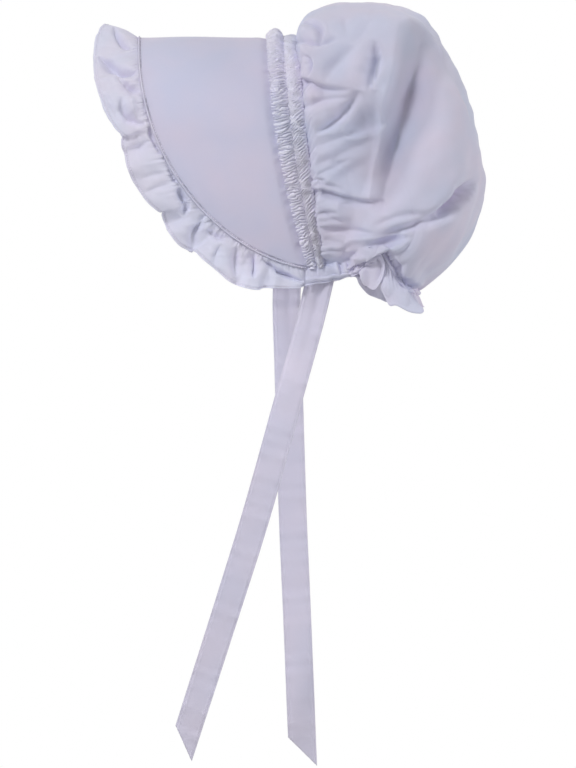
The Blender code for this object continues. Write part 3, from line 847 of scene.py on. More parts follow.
class Nodes:
    """Adds nodes to a shader or geometry tree."""

    def __init__(self, tree):
        self.tree = tree

    def add(self, kind, settings=None, inputs=None):
        """A node of a kind, with its settings first and then the values or links of its sockets."""
        node = self.tree.nodes.new(kind)
        for name, value in (settings or {}).items():
            setattr(node, name, value)
        for key, value in (inputs or {}).items():
            if isinstance(value, Value):
                self.tree.links.new(value.socket, node.inputs[key])
            else:
                node.inputs[key].default_value = value
        return node

    def value(self, kind, settings=None, inputs=None, output=0):
        """One output of a new node."""
        return Value(self, self.add(kind, settings, inputs).outputs[output])

    def link(self, value, node, key):
        """Links a value to a node's input."""
        self.tree.links.new(value.socket, node.inputs[key])


def cotton(name, color, shade, weave_pitch, crumple):
    """Matt plain-weave cotton: two near tints in soft patches, threads, slubs and fine creases, and
    painted shade that darkens it in deep folds.
    """
    material = bpy.data.materials.new(name)
    material.use_nodes = True
    nodes = Nodes(material.node_tree)
    shader = material.node_tree.nodes["Principled BSDF"]
    shader.inputs["Sheen Weight"].default_value = 0.15
    shader.inputs["Sheen Roughness"].default_value = 0.5
    shader.inputs["Specular IOR Level"].default_value = 0.25
    shader.inputs["Subsurface Weight"].default_value = 0.35
    shader.inputs["Subsurface Radius"].default_value = (1.0, 1.0, 1.0)
    shader.inputs["Subsurface Scale"].default_value = 0.005
    place = nodes.value("ShaderNodeTexCoord", output="Object")
    patches = nodes.value("ShaderNodeTexNoise", {}, {"Vector": place, "Scale": 16.0, "Detail": 2.0})
    cloth = nodes.value("ShaderNodeUVMap", {"uv_map": "cloth"})
    split = nodes.add("ShaderNodeSeparateXYZ", {}, {"Vector": cloth})
    warp = Value(nodes, split.outputs["X"])
    weft = Value(nodes, split.outputs["Y"])
    turns = 2.0 * pi / weave_pitch
    weave = (warp * turns).math("SINE") * (weft * turns).math("SINE")
    stretch = nodes.value("ShaderNodeMapping", {}, {"Vector": cloth, "Scale": (300.0, 2400.0, 1.0)})
    slubs = nodes.value("ShaderNodeTexNoise", {}, {"Vector": stretch, "Scale": 1.0, "Detail": 2.0})
    creases = nodes.value("ShaderNodeTexNoise", {}, {"Vector": place, "Scale": 62.0, "Detail": 4.0})
    base = nodes.add("ShaderNodeMix", {"data_type": "RGBA"}, {6: (*shade, 1.0), 7: (*color, 1.0)})
    share = ((patches - 0.35) * 3.0).math("MAXIMUM", 0.0).math("MINIMUM", 1.0)
    nodes.link(share, base, 0)
    # Painted shade: a number stored on the crown, high in its deep folds, darkens the base colour; the
    # thread factor carries it with slubs and weave
    painted_shade = nodes.value("ShaderNodeAttribute", {"attribute_name": "painted_shade"}, output="Fac")
    thread = 1.0 + (slubs - 0.5) * 0.05 + weave * 0.012 - painted_shade * PAINTED_SHADE_STRENGTH
    tint = nodes.value("ShaderNodeVectorMath", {"operation": "SCALE"},
                       {0: Value(nodes, base.outputs[2]), "Scale": thread})
    nodes.link(tint, shader, "Base Color")
    nodes.link(0.86 + (slubs - 0.5) * 0.12, shader, "Roughness")
    height = weave * 0.5 + (slubs - 0.5) * 0.8 + (creases - 0.5) * crumple
    bump = nodes.value("ShaderNodeBump", {}, {"Strength": 0.35, "Distance": 0.00012, "Height": height})
    nodes.link(bump, shader, "Normal")
    return material


def cloth_mesh(name, columns, rows, points, size):
    """Grid of cloth on points, with its own UV map in metres of the flat cloth."""
    grid = bmesh.new()
    bmesh.ops.create_grid(grid, x_segments=len(columns) - 1, y_segments=len(rows) - 1, size=0.5)
    mesh = bpy.data.meshes.new(name)
    grid.to_mesh(mesh)
    grid.free()
    flat = np.zeros(len(mesh.vertices) * 3, np.float32)
    mesh.vertices.foreach_get("co", flat)
    flat = flat.reshape(-1, 3) + 0.5
    column = np.rint(flat[:, 0] * (len(columns) - 1)).astype(int)
    row = np.rint(flat[:, 1] * (len(rows) - 1)).astype(int)
    mesh.vertices.foreach_set("co", points[column, row].astype(np.float32).ravel())
    laid = np.stack([columns[column] * size[0], rows[row] * size[1]], axis=-1).astype(np.float32)
    corner = np.zeros(len(mesh.loops), np.int32)
    mesh.loops.foreach_get("vertex_index", corner)
    mesh.uv_layers.new(name="cloth").data.foreach_set("uv", laid[corner].ravel())
    for label, values in (("along", laid[:, 0]), ("across", laid[:, 1])):
        mesh.attributes.new(label, "FLOAT", "POINT").data.foreach_set("value", values)
    mesh.shade_smooth()
    mesh.update()
    return mesh, column, row


def new_piece(name, mesh, material):
    """Object of a mesh in one material."""
    piece = bpy.data.objects.new(name, mesh)
    bpy.context.scene.collection.objects.link(piece)
    mesh.materials.clear()
    mesh.materials.append(material)
    return piece


def add_wall(piece, thickness, group=None, thin=1.0):
    """Gives a sheet its thickness, inwards from its outer face."""
    wall = piece.modifiers.new("wall", "SOLIDIFY")
    wall.thickness = thickness
    wall.offset = -1.0
    if group is not None:
        wall.vertex_group = group
        wall.thickness_vertex_group = thin
    return wall


def weigh(piece, name, weights):
    """Vertex group from an array of weights, in steps of a twentieth."""
    group = piece.vertex_groups.new(name=name)
    steps = np.rint(weights * 20.0).astype(int)
    for step in np.unique(steps):
        group.add(np.flatnonzero(steps == step).tolist(), float(step) / 20.0, "REPLACE")


def settle(piece, slot, *nodes):
    """Makes a finished piece ride on the body, in place of CAD nodes; its slot is not used."""
    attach(piece, BODY)
    if nodes:
        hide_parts(*nodes)
    return piece


def brim_points(place, depth):
    """Outer face of the brim, from its front seam (depth 0) to the band (depth 1)."""
    front_side = seam_side(np.abs(place))
    front = seam_point(front_side)
    back_y = band_front_y(head_arch(np.abs(place), 0.0)[..., 2])
    reach = back_y - front[..., 1]
    zone = np.minimum(EDGE_ZONE, EDGE_ZONE_SHARE * reach)
    past_zone = (reach + BRIM_LAP - zone) * (depth - EDGE_ROWS) / (1.0 - EDGE_ROWS)
    distance = np.where(depth < EDGE_ROWS, zone * depth / EDGE_ROWS, zone + past_zone)
    share = distance / np.maximum(reach, 1e-6)
    side = front_side + (np.abs(place) - front_side) * np.minimum(share, 1.0)
    points = mirrored(head_arch(side, front[..., 1] + distance), place)
    roll = beaded(distance, EDGE_ROLL) - beaded(distance, EDGE_LIP)
    slits = SLIT_BASE + SLITS.height * ripple(place * SEAM_LENGTH, SLITS.wavelength, SLITS.seed) ** 2
    groove = beaded(distance, STITCH_GROOVE) * slits
    ragged = 1.0 + rippled(place * BAND_LENGTH, BAND_DENT_WAVE)
    dent = BAND_DENT * ragged * ease(1.0 - (reach - distance) / BAND_DENT_REACH)
    limp = ease(distance / FIRM_REACH)
    lift = roll - groove + (rumpled(points, BRIM_WAVE) - dent) * limp
    return points + outward_of(points) * lift[..., None]


def ruffle_points(place, depth):
    """Gathered strip in front of the brim, from its free edge (depth 0) to the seam (depth 1)."""
    share = np.abs(place)
    edge = two_sided(RUFFLE_LEFT, RUFFLE_RIGHT, place)
    side = seam_side(share)
    seam = seam_point(side, 0.5 * BRIM_THICKNESS)
    outward = arch_outward(side, seam[..., 1])
    reach = 1.0 - depth
    tip = np.stack([seam[..., 0] + edge.out, edge.y, edge.z], axis=-1)
    run = reach * (1.0 + SEAM_TUCK / RUFFLE_WIDTH) - SEAM_TUCK / RUFFLE_WIDTH
    points = seam + (tip - seam) * run[..., None]
    points = points + outward * (edge.bow * 4.0 * reach * depth)[..., None]
    points = mirrored(points, place)
    wrinkles = gathered(RUFFLE_GATHERS, place * SEAM_LENGTH, reach * RUFFLE_WIDTH)
    wave = rumpled(points, *RUFFLE_WAVES) * reach - beaded(depth, HEM_GROOVE)
    near = FAR_CREASES + (1.0 - FAR_CREASES) * ease((place + FAR_BLEND) / (2.0 * FAR_BLEND))
    creased = pressed(RUFFLE_CREASES, points) * near
    creased = creased * ease(reach * CREASE_GROWTH) * ease(share / CREST_CALM)
    lift = wrinkles * ease(reach * WRINKLE_GROWTH) + wave - creased
    return points + outward_of(points) * lift[..., None]


def band_points(place, depth):
    """Outer face of the gathered band, from its front edge (depth 0) to the crown (depth 1)."""
    level = head_arch(np.abs(place), 0.0)[..., 2]
    front = band_front_y(level)
    back = band_back_y(level)
    channel = np.maximum(0.0, (depth - CHANNEL_START) / (1.0 - CHANNEL_START))
    rise = (CHANNEL_RISE + beaded(np.abs(place), BAND_KNOT)) * np.sin(pi * channel)
    return mirrored(head_arch(np.abs(place), front + (back - front) * depth, -rise), place)


def heading_points(place, depth):
    """Frilled heading, rounded over the front part of the band from its free edge (depth 0)."""
    side = np.abs(place)
    level = head_arch(side, 0.0)[..., 2]
    front = band_front_y(level)
    across = band_back_y(level) - front
    foot_y = front + across * (HEADING_FRONT + (HEADING_BACK - HEADING_FRONT) * depth)
    row = between_rows(HEADING_ROWS, side)
    rise = HEADING_LIFT * (1.0 - depth) + row.rise * np.sin(pi * depth) ** HEADING_ROUNDNESS
    points = head_arch(side, foot_y) + arch_outward(side, foot_y) * rise[..., None]
    return mirrored(points, place)


def crown_base(side, sweep):
    """Smooth outer form of the crown's left half, from the band (sweep 0) to the nape (sweep 1)."""
    arch = through_rows(CROWN_ARCHES, sweep)
    x, drop = arch_profile(side, arch.half_width, arch.reach - POLE_RADIUS, arch.shoulder,
                           CORNER_HALF_WIDTH - CROWN_TUCK, arch.square)
    radius = arch.reach - drop
    turn = np.radians(arch.turn)
    y = PIVOT_Y + radius * np.cos(turn)
    z = PIVOT_Z + radius * np.sin(turn)
    front = CROWN_ARCHES[0]
    front_turn = radians(front.turn)
    front_drop = arch_profile(side, front.half_width, front.reach - POLE_RADIUS, front.shoulder,
                              CORNER_HALF_WIDTH)[1]
    front_radius = front.reach - front_drop
    front_z = PIVOT_Z + front_radius * sin(front_turn)
    shift = band_back_y(front_z) - (PIVOT_Y + front_radius * cos(front_turn))
    return np.stack(np.broadcast_arrays(x, y + shift * (1.0 - ease(sweep / LINE_FADE)), z), axis=-1)


def fold_strength(share, peak):
    """Swell of a fold along its line, from 0 at its ends to 1 at its peak."""
    rising = np.sin(0.5 * pi * np.clip(share / peak, 0.0, 1.0))
    falling = np.cos(0.5 * pi * np.clip((share - peak) / (1.0 - peak), 0.0, 1.0))
    return (rising * falling) ** FOLD_SWELL


def pressed(folds, points):
    """How far folds press the cloth in at its points, by their places in the side view."""
    y = points[..., 1]
    z = points[..., 2]
    total = np.zeros_like(y)
    steps = np.linspace(0.0, 1.0, FOLD_SEGMENTS + 1)
    for fold in folds:
        first, middle, last = (1.0 - steps) ** 2, 2.0 * steps * (1.0 - steps), steps ** 2
        line_y = first * fold.y1 + middle * fold.y2 + last * fold.y3
        line_z = first * fold.z1 + middle * fold.z2 + last * fold.z3
        nearest = np.full_like(y, 1.0)
        share = np.zeros_like(y)
        on_left = np.zeros(y.shape, bool)
        for step in range(FOLD_SEGMENTS):
            run_y = line_y[step + 1] - line_y[step]
            run_z = line_z[step + 1] - line_z[step]
            off_y = y - line_y[step]
            off_z = z - line_z[step]
            part = np.clip((off_y * run_y + off_z * run_z) / (run_y ** 2 + run_z ** 2), 0.0, 1.0)
            distance = np.hypot(off_y - part * run_y, off_z - part * run_z)
            closer = distance < nearest
            nearest = np.where(closer, distance, nearest)
            share = np.where(closer, (step + part) / FOLD_SEGMENTS, share)
            on_left = np.where(closer, off_z * run_y > off_y * run_z, on_left)
        strength = fold_strength(share, fold.peak)
        taper = 1.0 if fold.crisp > 0.0 else FOLD_TAPER + (1.0 - FOLD_TAPER) * strength
        width = np.where(on_left, fold.left, fold.right) * (1.0 + (fold.narrow - 1.0) * share) * taper
        waver = np.sin(FOLD_WAVER_TURNS * share + FOLD_WAVER_SHIFT * fold.y1)
        distance = nearest / (width * (1.0 + FOLD_WAVER * waver))
        soft = np.exp(-distance ** FOLD_ROUNDNESS)
        straight = np.clip(1.0 - distance, 0.0, 1.0)
        profile = np.where(on_left, soft, soft + (straight - soft) * fold.crisp)
        total += fold.depth * strength * profile
    return total


def aside(x):
    """How far a place lies out to one side, from 0 near the middle of the crown to 1."""
    return ease((x - DEEP_START) / DEEP_BLEND)


def crown_pressed(points, above, upto=1.0):
    """How far the folds of the left and of the right press the crown in, by the range of depths."""
    return [pressed([fold for fold in folds if above < fold.depth <= upto], points)
            for folds in (CROWN_LEFT, CROWN_RIGHT)]


def crown_painted_shade(points):
    """Painted shade of the crown: how far each point lies in a deep fold, from 0 to 1, to darken its
    colour.
    """
    left, right = crown_pressed(points, SHADED_FOLD)
    pressing = left * aside(points[..., 0]) + right * aside(-points[..., 0])
    return ease((pressing - PAINTED_SHADE_START) / SHADED_FOLD)


def neck_line():
    """Line of the crown's nape edge, from the centre back to the front of the left jaw corner."""
    sides = np.linspace(0.0, 1.0, LINE_SAMPLES)
    nape = crown_base(sides, np.ones(LINE_SAMPLES))
    corner = [CORNER_HALF_WIDTH - CROWN_TUCK, CORNER_FRONT_Y, CORNER_LEVEL - NECK_DROP]
    return np.concatenate([nape, [corner]])


NECK_LINE = neck_line()
NECK_LENGTHS = run_lengths(NECK_LINE)
NECK_LENGTH = NECK_LENGTHS[-1]


def neck_point(place):
    """Points of the neck line, from the centre back to the front of the jaw corner."""
    return point_along(NECK_LINE, NECK_LENGTHS, place * NECK_LENGTH)


def neck_outward(place):
    """Level unit vectors out of the neck line."""
    last = neck_point(np.minimum(1.0, place + NECK_REACH))
    ahead = last - neck_point(np.maximum(0.0, place - NECK_REACH))
    ahead[..., 1] = np.where(place == 0.0, 0.0, ahead[..., 1])
    level = np.stack([-ahead[..., 1], ahead[..., 0], np.zeros_like(ahead[..., 0])], axis=-1)
    return unit(level)


def two_sided(left, right, place):
    """Row at a place, from the table of the side that it is on."""
    on_left = along_rows(left, np.abs(place))
    on_right = along_rows(right, np.abs(place))
    return type(left[0])(*(np.where(place < 0.0, b, a) for a, b in zip(on_left, on_right)))


def neck_edge(place):
    """Row of the neck edge at a place."""
    return two_sided(NECK_LEFT, NECK_RIGHT, place)


def crown_points(place, sweep):
    """Crown with its folds and gathers, moved square to its smooth form."""
    points = mirrored(crown_base(np.abs(place), sweep), place)
    at_nape = np.sign(place) * np.interp(np.abs(place), SEAM_SIDES, NECK_LENGTHS[:-1] / NECK_LENGTH)
    edge = neck_edge(at_nape)
    pull = ease((sweep - 1.0 + NAPE_PULL) / NAPE_PULL)
    points[..., 0] += edge.out * pull * np.sign(place)
    points[..., 2] += edge.rise * pull
    outward = outward_of(points)
    deep_left, deep_right = crown_pressed(points, DEEP_FOLD)
    small_left, small_right = crown_pressed(points, -1.0, DEEP_FOLD)
    on_left = ease(points[..., 0] / CREST_BLEND)
    on_right = ease(-points[..., 0] / CREST_BLEND)
    creased = small_left * on_left + small_right * on_right
    held = ease(sweep / HELD_AT_BAND) * ease((1.0 - sweep) / HELD_AT_NAPE)
    from_band = np.linalg.norm(points - points[:, :1], axis=-1)
    from_nape = np.linalg.norm(points - points[:, -1:], axis=-1)
    wrinkles = gathered(BAND_GATHERS, place * BAND_LENGTH, from_band)
    wrinkles = wrinkles + gathered(NAPE_GATHERS, place * NAPE_SPAN, from_nape)
    soft = rumpled(points, *CROWN_WAVES)
    free = ease((1.0 - np.abs(place)) / HELD_AT_CORNER)
    points = points + outward * ((wrinkles + (soft - creased) * held) * free)[..., None]
    inwards = deep_right * aside(-points[..., 0]) - deep_left * aside(points[..., 0])
    points[..., 0] += inwards * held * free
    return points


def casing_points(place, depth):
    """Hem with the elastic, from the crown's edge (depth 0) down to its lower edge (depth 1)."""
    side = np.abs(place)
    edge = neck_edge(place)
    drop = edge.casing * depth * cos(CASING_TILT) - CASING_TUCK * (1.0 - depth)
    spread = edge.casing * depth * sin(CASING_TILT)
    spread = spread + CASING_BULGE * np.sin(pi * depth) - CASING_SINK * (1.0 - depth)
    points = neck_point(side) + neck_outward(side) * spread[..., None]
    points[..., 0] += edge.out
    points[..., 2] += edge.rise - drop + rippled(place * NECK_LENGTH, CASING_DROOP) * depth
    points = mirrored(points, place)
    wave = ripple(place * NECK_LENGTH, CASING_PINCH.wavelength, CASING_PINCH.seed)
    pinch = CASING_PINCH.height * pinched(wave, 0.02)
    pinch = pinch * (1.0 - CASING_CALM * ease((side - CALM_START) / CALM_RUN))
    hem = beaded(depth, CASING_HEM) - beaded(depth, CASING_GROOVE)
    lift = pinch + rumpled(points, CASING_WAVE) + hem - pressed(CASING_CREASES, points)
    return points - outward_of(points) * lift[..., None]


def frill_points(place, depth):
    """Free edge of the cloth below the casing, waving in and out."""
    place = place * FRILL_END
    side = np.abs(place)
    edge = two_sided(FRILL_LEFT, FRILL_RIGHT, place)
    top = casing_points(place, np.ones_like(depth))
    top[..., 2] += FRILL_TUCK
    out = mirrored(neck_outward(side), place)
    tip = np.stack([top[..., 0], edge.y, edge.z], axis=-1)
    points = top + (tip - top) * depth[..., None] + out * (edge.out * depth ** FRILL_SPREAD)[..., None]
    wrinkles = gathered(RUFFLE_GATHERS, place * NECK_LENGTH, FRILL_WIDTH * depth)
    lift = (wrinkles - pressed(FRILL_CREASES, points)) * ease(depth * FRILL_GROWTH)
    return points - outward_of(points) * lift[..., None]


def tie_points(rows):
    """Ribbon along a line of rows, from its slanted end (height 0) to its sewn top (height 1)."""
    shares = np.linspace(0.0, 1.0, LINE_SAMPLES)
    table = through_rows(rows, shares)
    line = np.stack([table.x, table.y, table.z], axis=-1)
    lengths = run_lengths(line)
    seed = int(round(abs(rows[-1].z) / MILLIMETRE))

    def surface(width, height):
        """Points of the ribbon at shares of its width and height."""
        distance = (1.0 - height) * (lengths[-1] + TIE_SLANT * (width - 0.5))
        inside = np.minimum(distance, lengths[-1] - NUDGE)
        next_point = point_along(line, lengths, inside + NUDGE)
        ahead = unit(next_point - point_along(line, lengths, inside - NUDGE))
        flat = unit(np.stack([np.zeros_like(inside), -ahead[..., 2], ahead[..., 1]], axis=-1))
        normal = unit(np.cross(flat, ahead))
        twist = np.radians(np.interp(inside, lengths, table.twist))[..., None]
        across = flat * np.cos(twist) + normal * np.sin(twist)
        middle = point_along(line, lengths, inside) + ahead * (distance - inside)[..., None]
        points = middle + across * (TIE_WIDTH * (width - 0.5))[..., None]
        edge = np.abs(width - 0.5) * 2.0
        cup = rippled(inside, TIE_BEND) * edge ** 2 + beaded(edge, TIE_HEM) - beaded(edge, TIE_GROOVE)
        crease = beaded(width + TIE_CREASE_DRIFT * inside, TIE_CREASE)
        crease = crease * np.exp(-inside / TIE_CREASE_LENGTH)
        cockle = rippled(inside, TIE_COCKLE._replace(seed=seed)) * (0.3 + edge)
        lift = cup + crease + cockle + rumpled(points, TIE_WAVE._replace(seed=seed))
        return points + normal * lift[..., None]

    return surface, lengths[-1]


def grid_points(surface, columns, rows):
    """Surface on a grid of places."""
    place, depth = np.meshgrid(columns, rows, indexing="ij")
    return surface(place, depth)


def new_tree(name, sockets):
    """Geometry tree with named inputs and one geometry output."""
    tree = bpy.data.node_groups.new(name, "GeometryNodeTree")
    tree.interface.new_socket("Geometry", in_out="INPUT", socket_type="NodeSocketGeometry")
    for label, kind in sockets:
        tree.interface.new_socket(label, in_out="INPUT", socket_type=kind)
    tree.interface.new_socket("Geometry", in_out="OUTPUT", socket_type="NodeSocketGeometry")
    return tree


def finish_tree(nodes, source, geometry):
    """Ends a tree with its instances made real and its material set."""
    real = nodes.value("GeometryNodeRealizeInstances", {}, {"Geometry": geometry})
    painted = nodes.value("GeometryNodeSetMaterial", {},
                          {"Geometry": real, "Material": source("Material")})
    nodes.link(painted, nodes.add("NodeGroupOutput"), 0)


def pleat_tree():
    """Tree that folds a strip into fine pleats along its length."""
    tree = new_tree("pleats", (("Pitch", "NodeSocketFloat"), ("Depth", "NodeSocketFloat"),
                               ("Slant", "NodeSocketFloat"), ("Wander", "NodeSocketFloat"),
                               ("Frill", "NodeSocketFloat"), ("Seed", "NodeSocketFloat"),
                               ("Material", "NodeSocketMaterial")))
    nodes = Nodes(tree)
    inputs = nodes.add("NodeGroupInput")

    def source(label):
        """One of the tree's inputs."""
        return Value(nodes, inputs.outputs[label])

    def attribute(label):
        """A number that is stored on the points."""
        return nodes.value("GeometryNodeInputNamedAttribute", {"data_type": "FLOAT"}, {"Name": label})

    along = attribute("along")
    across = attribute("across")
    pull = attribute("pull")
    spot = nodes.value("ShaderNodeCombineXYZ", {}, {"X": along / source("Pitch") * 0.45,
                                                    "Y": across / source("Pitch") * 0.30,
                                                    "Z": source("Seed")})
    wander = nodes.value("ShaderNodeTexNoise", {}, {"Vector": spot, "Scale": 1.0, "Detail": 1.0})
    other = nodes.value("ShaderNodeVectorMath", {"operation": "ADD"}, {0: spot, 1: (7.3, 1.9, 4.1)})
    uneven = nodes.value("ShaderNodeTexNoise", {}, {"Vector": other, "Scale": 1.6, "Detail": 1.0})
    phase = (along + across * source("Slant")) / source("Pitch") + (wander - 0.5) * source("Wander")
    ridge = abs((phase * pi).math("SINE"))
    height = (ridge - 0.55) * source("Depth") * pull * (uneven * 1.6 + 0.4)
    normal = nodes.value("GeometryNodeInputNormal")
    rise = nodes.value("ShaderNodeVectorMath", {"operation": "SCALE"}, {0: normal, "Scale": height})
    edge = attribute("edge")
    run = (ridge - 0.5) * source("Frill") * edge * (uneven + 0.5)
    forward = nodes.value("ShaderNodeCombineXYZ", {}, {"X": 0.0, "Y": 0.0 - run, "Z": 0.0})
    offset = nodes.value("ShaderNodeVectorMath", {"operation": "ADD"}, {0: rise, 1: forward})
    moved = nodes.value("GeometryNodeSetPosition", {},
                        {"Geometry": source("Geometry"), "Offset": offset})
    finish_tree(nodes, source, moved)
    return tree


def stitch_tree():
    """Tree that lays short thread stitches along a line, proud of the cloth under it."""
    tree = new_tree("stitches", (("Spacing", "NodeSocketFloat"), ("Length", "NodeSocketFloat"),
                                 ("Width", "NodeSocketFloat"), ("Height", "NodeSocketFloat"),
                                 ("Slant", "NodeSocketFloat"), ("Material", "NodeSocketMaterial")))
    nodes = Nodes(tree)
    inputs = nodes.add("NodeGroupInput")

    def source(label):
        """One of the tree's inputs."""
        return Value(nodes, inputs.outputs[label])

    line = nodes.value("GeometryNodeMeshToCurve", {}, {"Mesh": source("Geometry")})
    points = nodes.value("GeometryNodeResampleCurve", {"mode": "LENGTH"},
                         {"Curve": line, "Length": source("Spacing")})
    thread = nodes.value("GeometryNodeMeshUVSphere", {}, {"Segments": 8, "Rings": 5, "Radius": 0.5})
    thread = nodes.value("GeometryNodeSetShadeSmooth", {}, {"Geometry": thread})
    outward = nodes.value("GeometryNodeInputNamedAttribute", {"data_type": "FLOAT_VECTOR"},
                          {"Name": "outward"})
    tangent = nodes.value("GeometryNodeInputTangent")
    lengthwise = nodes.value("FunctionNodeAlignRotationToVector", {"axis": "X"}, {"Vector": tangent})
    upright = nodes.value("FunctionNodeAlignRotationToVector", {"axis": "Z", "pivot_axis": "X"},
                          {"Rotation": lengthwise, "Vector": outward})
    slant = nodes.value("FunctionNodeAxisAngleToRotation", {},
                        {"Axis": (0.0, 0.0, 1.0), "Angle": source("Slant")})
    turned = nodes.value("FunctionNodeRotateRotation", {"rotation_space": "LOCAL"},
                         {"Rotation": upright, "Rotate By": slant})
    size = nodes.value("ShaderNodeCombineXYZ", {}, {"X": source("Length"), "Y": source("Width"),
                                                    "Z": source("Height")})
    stitches = nodes.value("GeometryNodeInstanceOnPoints", {},
                           {"Points": points, "Instance": thread, "Rotation": turned, "Scale": size})
    finish_tree(nodes, source, stitches)
    return tree


def run_tree(piece, tree, values):
    """Runs a geometry tree on a piece and keeps its result as a plain mesh."""
    modifier = piece.modifiers.new(tree.name, "NODES")
    modifier.node_group = tree
    for item in tree.interface.items_tree:
        if item.in_out == "INPUT" and item.name in values:
            modifier[item.identifier] = values[item.name]
    depsgraph = bpy.context.evaluated_depsgraph_get()
    made = bpy.data.meshes.new_from_object(piece.evaluated_get(depsgraph))
    piece.modifiers.remove(modifier)
    old = piece.data
    piece.data = made
    bpy.data.meshes.remove(old)
    return piece


def set_numbers(mesh, name, values):
    """Stores a number for each point of a mesh."""
    mesh.attributes.new(name, "FLOAT", "POINT").data.foreach_set("value", values.astype(np.float32))


def sewn(name, surface, columns, rows, size, material):
    """Piece of cloth on a surface, with the grid row of each of its points."""
    points = grid_points(surface, columns, rows)
    mesh, _, row = cloth_mesh(name, columns, rows, points, size)
    return new_piece(name, mesh, material), row


def pleat(piece, pull, edge, pleats):
    """Folds a strip into fine pleats, as deep as pull says and frilled forwards as edge says."""
    own = settings()
    set_numbers(piece.data, "pull", pull)
    set_numbers(piece.data, "edge", edge)
    run_tree(piece, bpy.data.node_groups.get("pleats") or pleat_tree(), {
        "Pitch": pleats.pitch * own.pleat_pitch, "Depth": pleats.depth * own.pleat_depth,
        "Slant": pleats.slant, "Wander": pleats.wander, "Frill": pleats.frill, "Seed": pleats.seed,
        "Material": piece.data.materials[0]})


def stitched(name, lines, stitch):
    """Rows of stitches along lines, each a pair of points and outward vectors."""
    spots, outwards, edges = [], [], []
    for points, outward in lines:
        start = sum(len(part) for part in spots)
        spots.append(points)
        outwards.append(outward)
        edges += [(start + step, start + step + 1) for step in range(len(points) - 1)]
    mesh = bpy.data.meshes.new(name)
    mesh.from_pydata(np.concatenate(spots).tolist(), edges, [])
    vectors = np.concatenate(outwards).astype(np.float32).ravel()
    mesh.attributes.new("outward", "FLOAT_VECTOR", "POINT").data.foreach_set("vector", vectors)
    material = thread_cotton()
    piece = new_piece(name, mesh, material)
    spacing = stitch.spacing * settings().stitch_spacing
    run_tree(piece, bpy.data.node_groups.get("stitches") or stitch_tree(), {
        "Spacing": spacing, "Length": spacing * stitch.length, "Width": stitch.width,
        "Height": stitch.height, "Slant": stitch.slant, "Material": material})
    piece.data.shade_smooth()
    return piece


class BonnetSettings(bpy.types.PropertyGroup):
    """Sizes and colours of the bonnet."""

    ruffle_color: FloatVectorProperty(
        name="Ruffle", description="Colour of the brim ruffle, made lighter for the thread",
        subtype="COLOR", size=3, min=0.0, max=1.0, default=(0.731, 0.682, 0.830))
    ruffle_shade: FloatVectorProperty(
        name="Ruffle shade", description="Second tint of the ruffle, in soft patches",
        subtype="COLOR", size=3, min=0.0, max=1.0, default=(0.659, 0.677, 0.849))
    crown_color: FloatVectorProperty(
        name="Crown", description="Colour of the crown and the neck edge",
        subtype="COLOR", size=3, min=0.0, max=1.0, default=(0.690, 0.637, 0.795))
    crown_shade: FloatVectorProperty(
        name="Crown shade", description="Second tint of the crown, in soft patches",
        subtype="COLOR", size=3, min=0.0, max=1.0, default=(0.608, 0.632, 0.815))
    brim_color: FloatVectorProperty(
        name="Brim", description="Colour of the brim",
        subtype="COLOR", size=3, min=0.0, max=1.0, default=(0.654, 0.608, 0.741))
    brim_shade: FloatVectorProperty(
        name="Brim shade", description="Second tint of the brim, in soft patches",
        subtype="COLOR", size=3, min=0.0, max=1.0, default=(0.588, 0.598, 0.756))
    band_color: FloatVectorProperty(
        name="Band", description="Colour of the gathered band",
        subtype="COLOR", size=3, min=0.0, max=1.0, default=(0.848, 0.800, 0.943))
    band_shade: FloatVectorProperty(
        name="Band shade", description="Second tint of the band, in soft patches",
        subtype="COLOR", size=3, min=0.0, max=1.0, default=(0.782, 0.790, 0.953))
    tie_color: FloatVectorProperty(
        name="Ties", description="Colour of the ties",
        subtype="COLOR", size=3, min=0.0, max=1.0, default=(0.629, 0.588, 0.727))
    tie_shade: FloatVectorProperty(
        name="Tie shade", description="Second tint of the ties, in soft patches",
        subtype="COLOR", size=3, min=0.0, max=1.0, default=(0.588, 0.573, 0.727))
    cloth_thickness: FloatProperty(
        name="Cloth thickness", description="Thickness of a single layer of cotton",
        default=0.0006, min=0.0002, max=0.002, unit="LENGTH")
    pleat_pitch: FloatProperty(
        name="Pleat pitch", description="Distance between the band's fine pleats",
        default=0.0027, min=0.001, max=0.01, unit="LENGTH")
    pleat_depth: FloatProperty(
        name="Pleat depth", description="Height of the band's fine pleats",
        default=0.0019, min=0.0, max=0.005, unit="LENGTH")
    stitch_spacing: FloatProperty(
        name="Stitch spacing", description="Distance from stitch to stitch",
        default=0.0024, min=0.001, max=0.01, unit="LENGTH")
    weave_pitch: FloatProperty(
        name="Weave pitch", description="Distance over two threads of the weave",
        default=0.0009, min=0.0002, max=0.005, unit="LENGTH")
    camera_distance: FloatProperty(
        name="Camera distance", description="Distance from the camera to the middle of the bonnet",
        default=12.0, min=1.0, max=20.0, unit="LENGTH")
    crown_columns: IntProperty(
        name="Crown columns", description="Grid lines of the crown from corner to corner",
        default=359, min=40, max=600)
    crown_rows: IntProperty(
        name="Crown rows", description="Grid lines of the crown from band to nape",
        default=137, min=20, max=300)


def settings():
    """The bonnet's settings in this scene."""
    return bpy.context.scene.bonnet


def get_cotton(name, color, shade, crumple):
    """The cotton of a name, made when it is first asked for."""
    return bpy.data.materials.get(name) or cotton(name, color, shade, settings().weave_pitch, crumple)


def cotton_of(part):
    """The cotton of a part, in its own two tints."""
    own = settings()
    color = getattr(own, part + "_color")
    return get_cotton(part + "_weave", color, getattr(own, part + "_shade"), CRUMPLES[part])


def thread_cotton():
    """Smooth bright thread."""
    color = settings().ruffle_color
    return get_cotton("thread", [THREAD_GAIN * channel for channel in color], color, THREAD_CRUMPLE)


def surface_line(surface, columns, depth, lift=0.0001):
    """Line across a surface at one depth, lifted off the cloth, with its outward vectors."""
    points = grid_points(surface, columns, depth + np.array([-0.01, 0.0, 0.01]))
    outward = outward_of(points)[:, 1]
    return points[:, 1] + outward * lift, outward


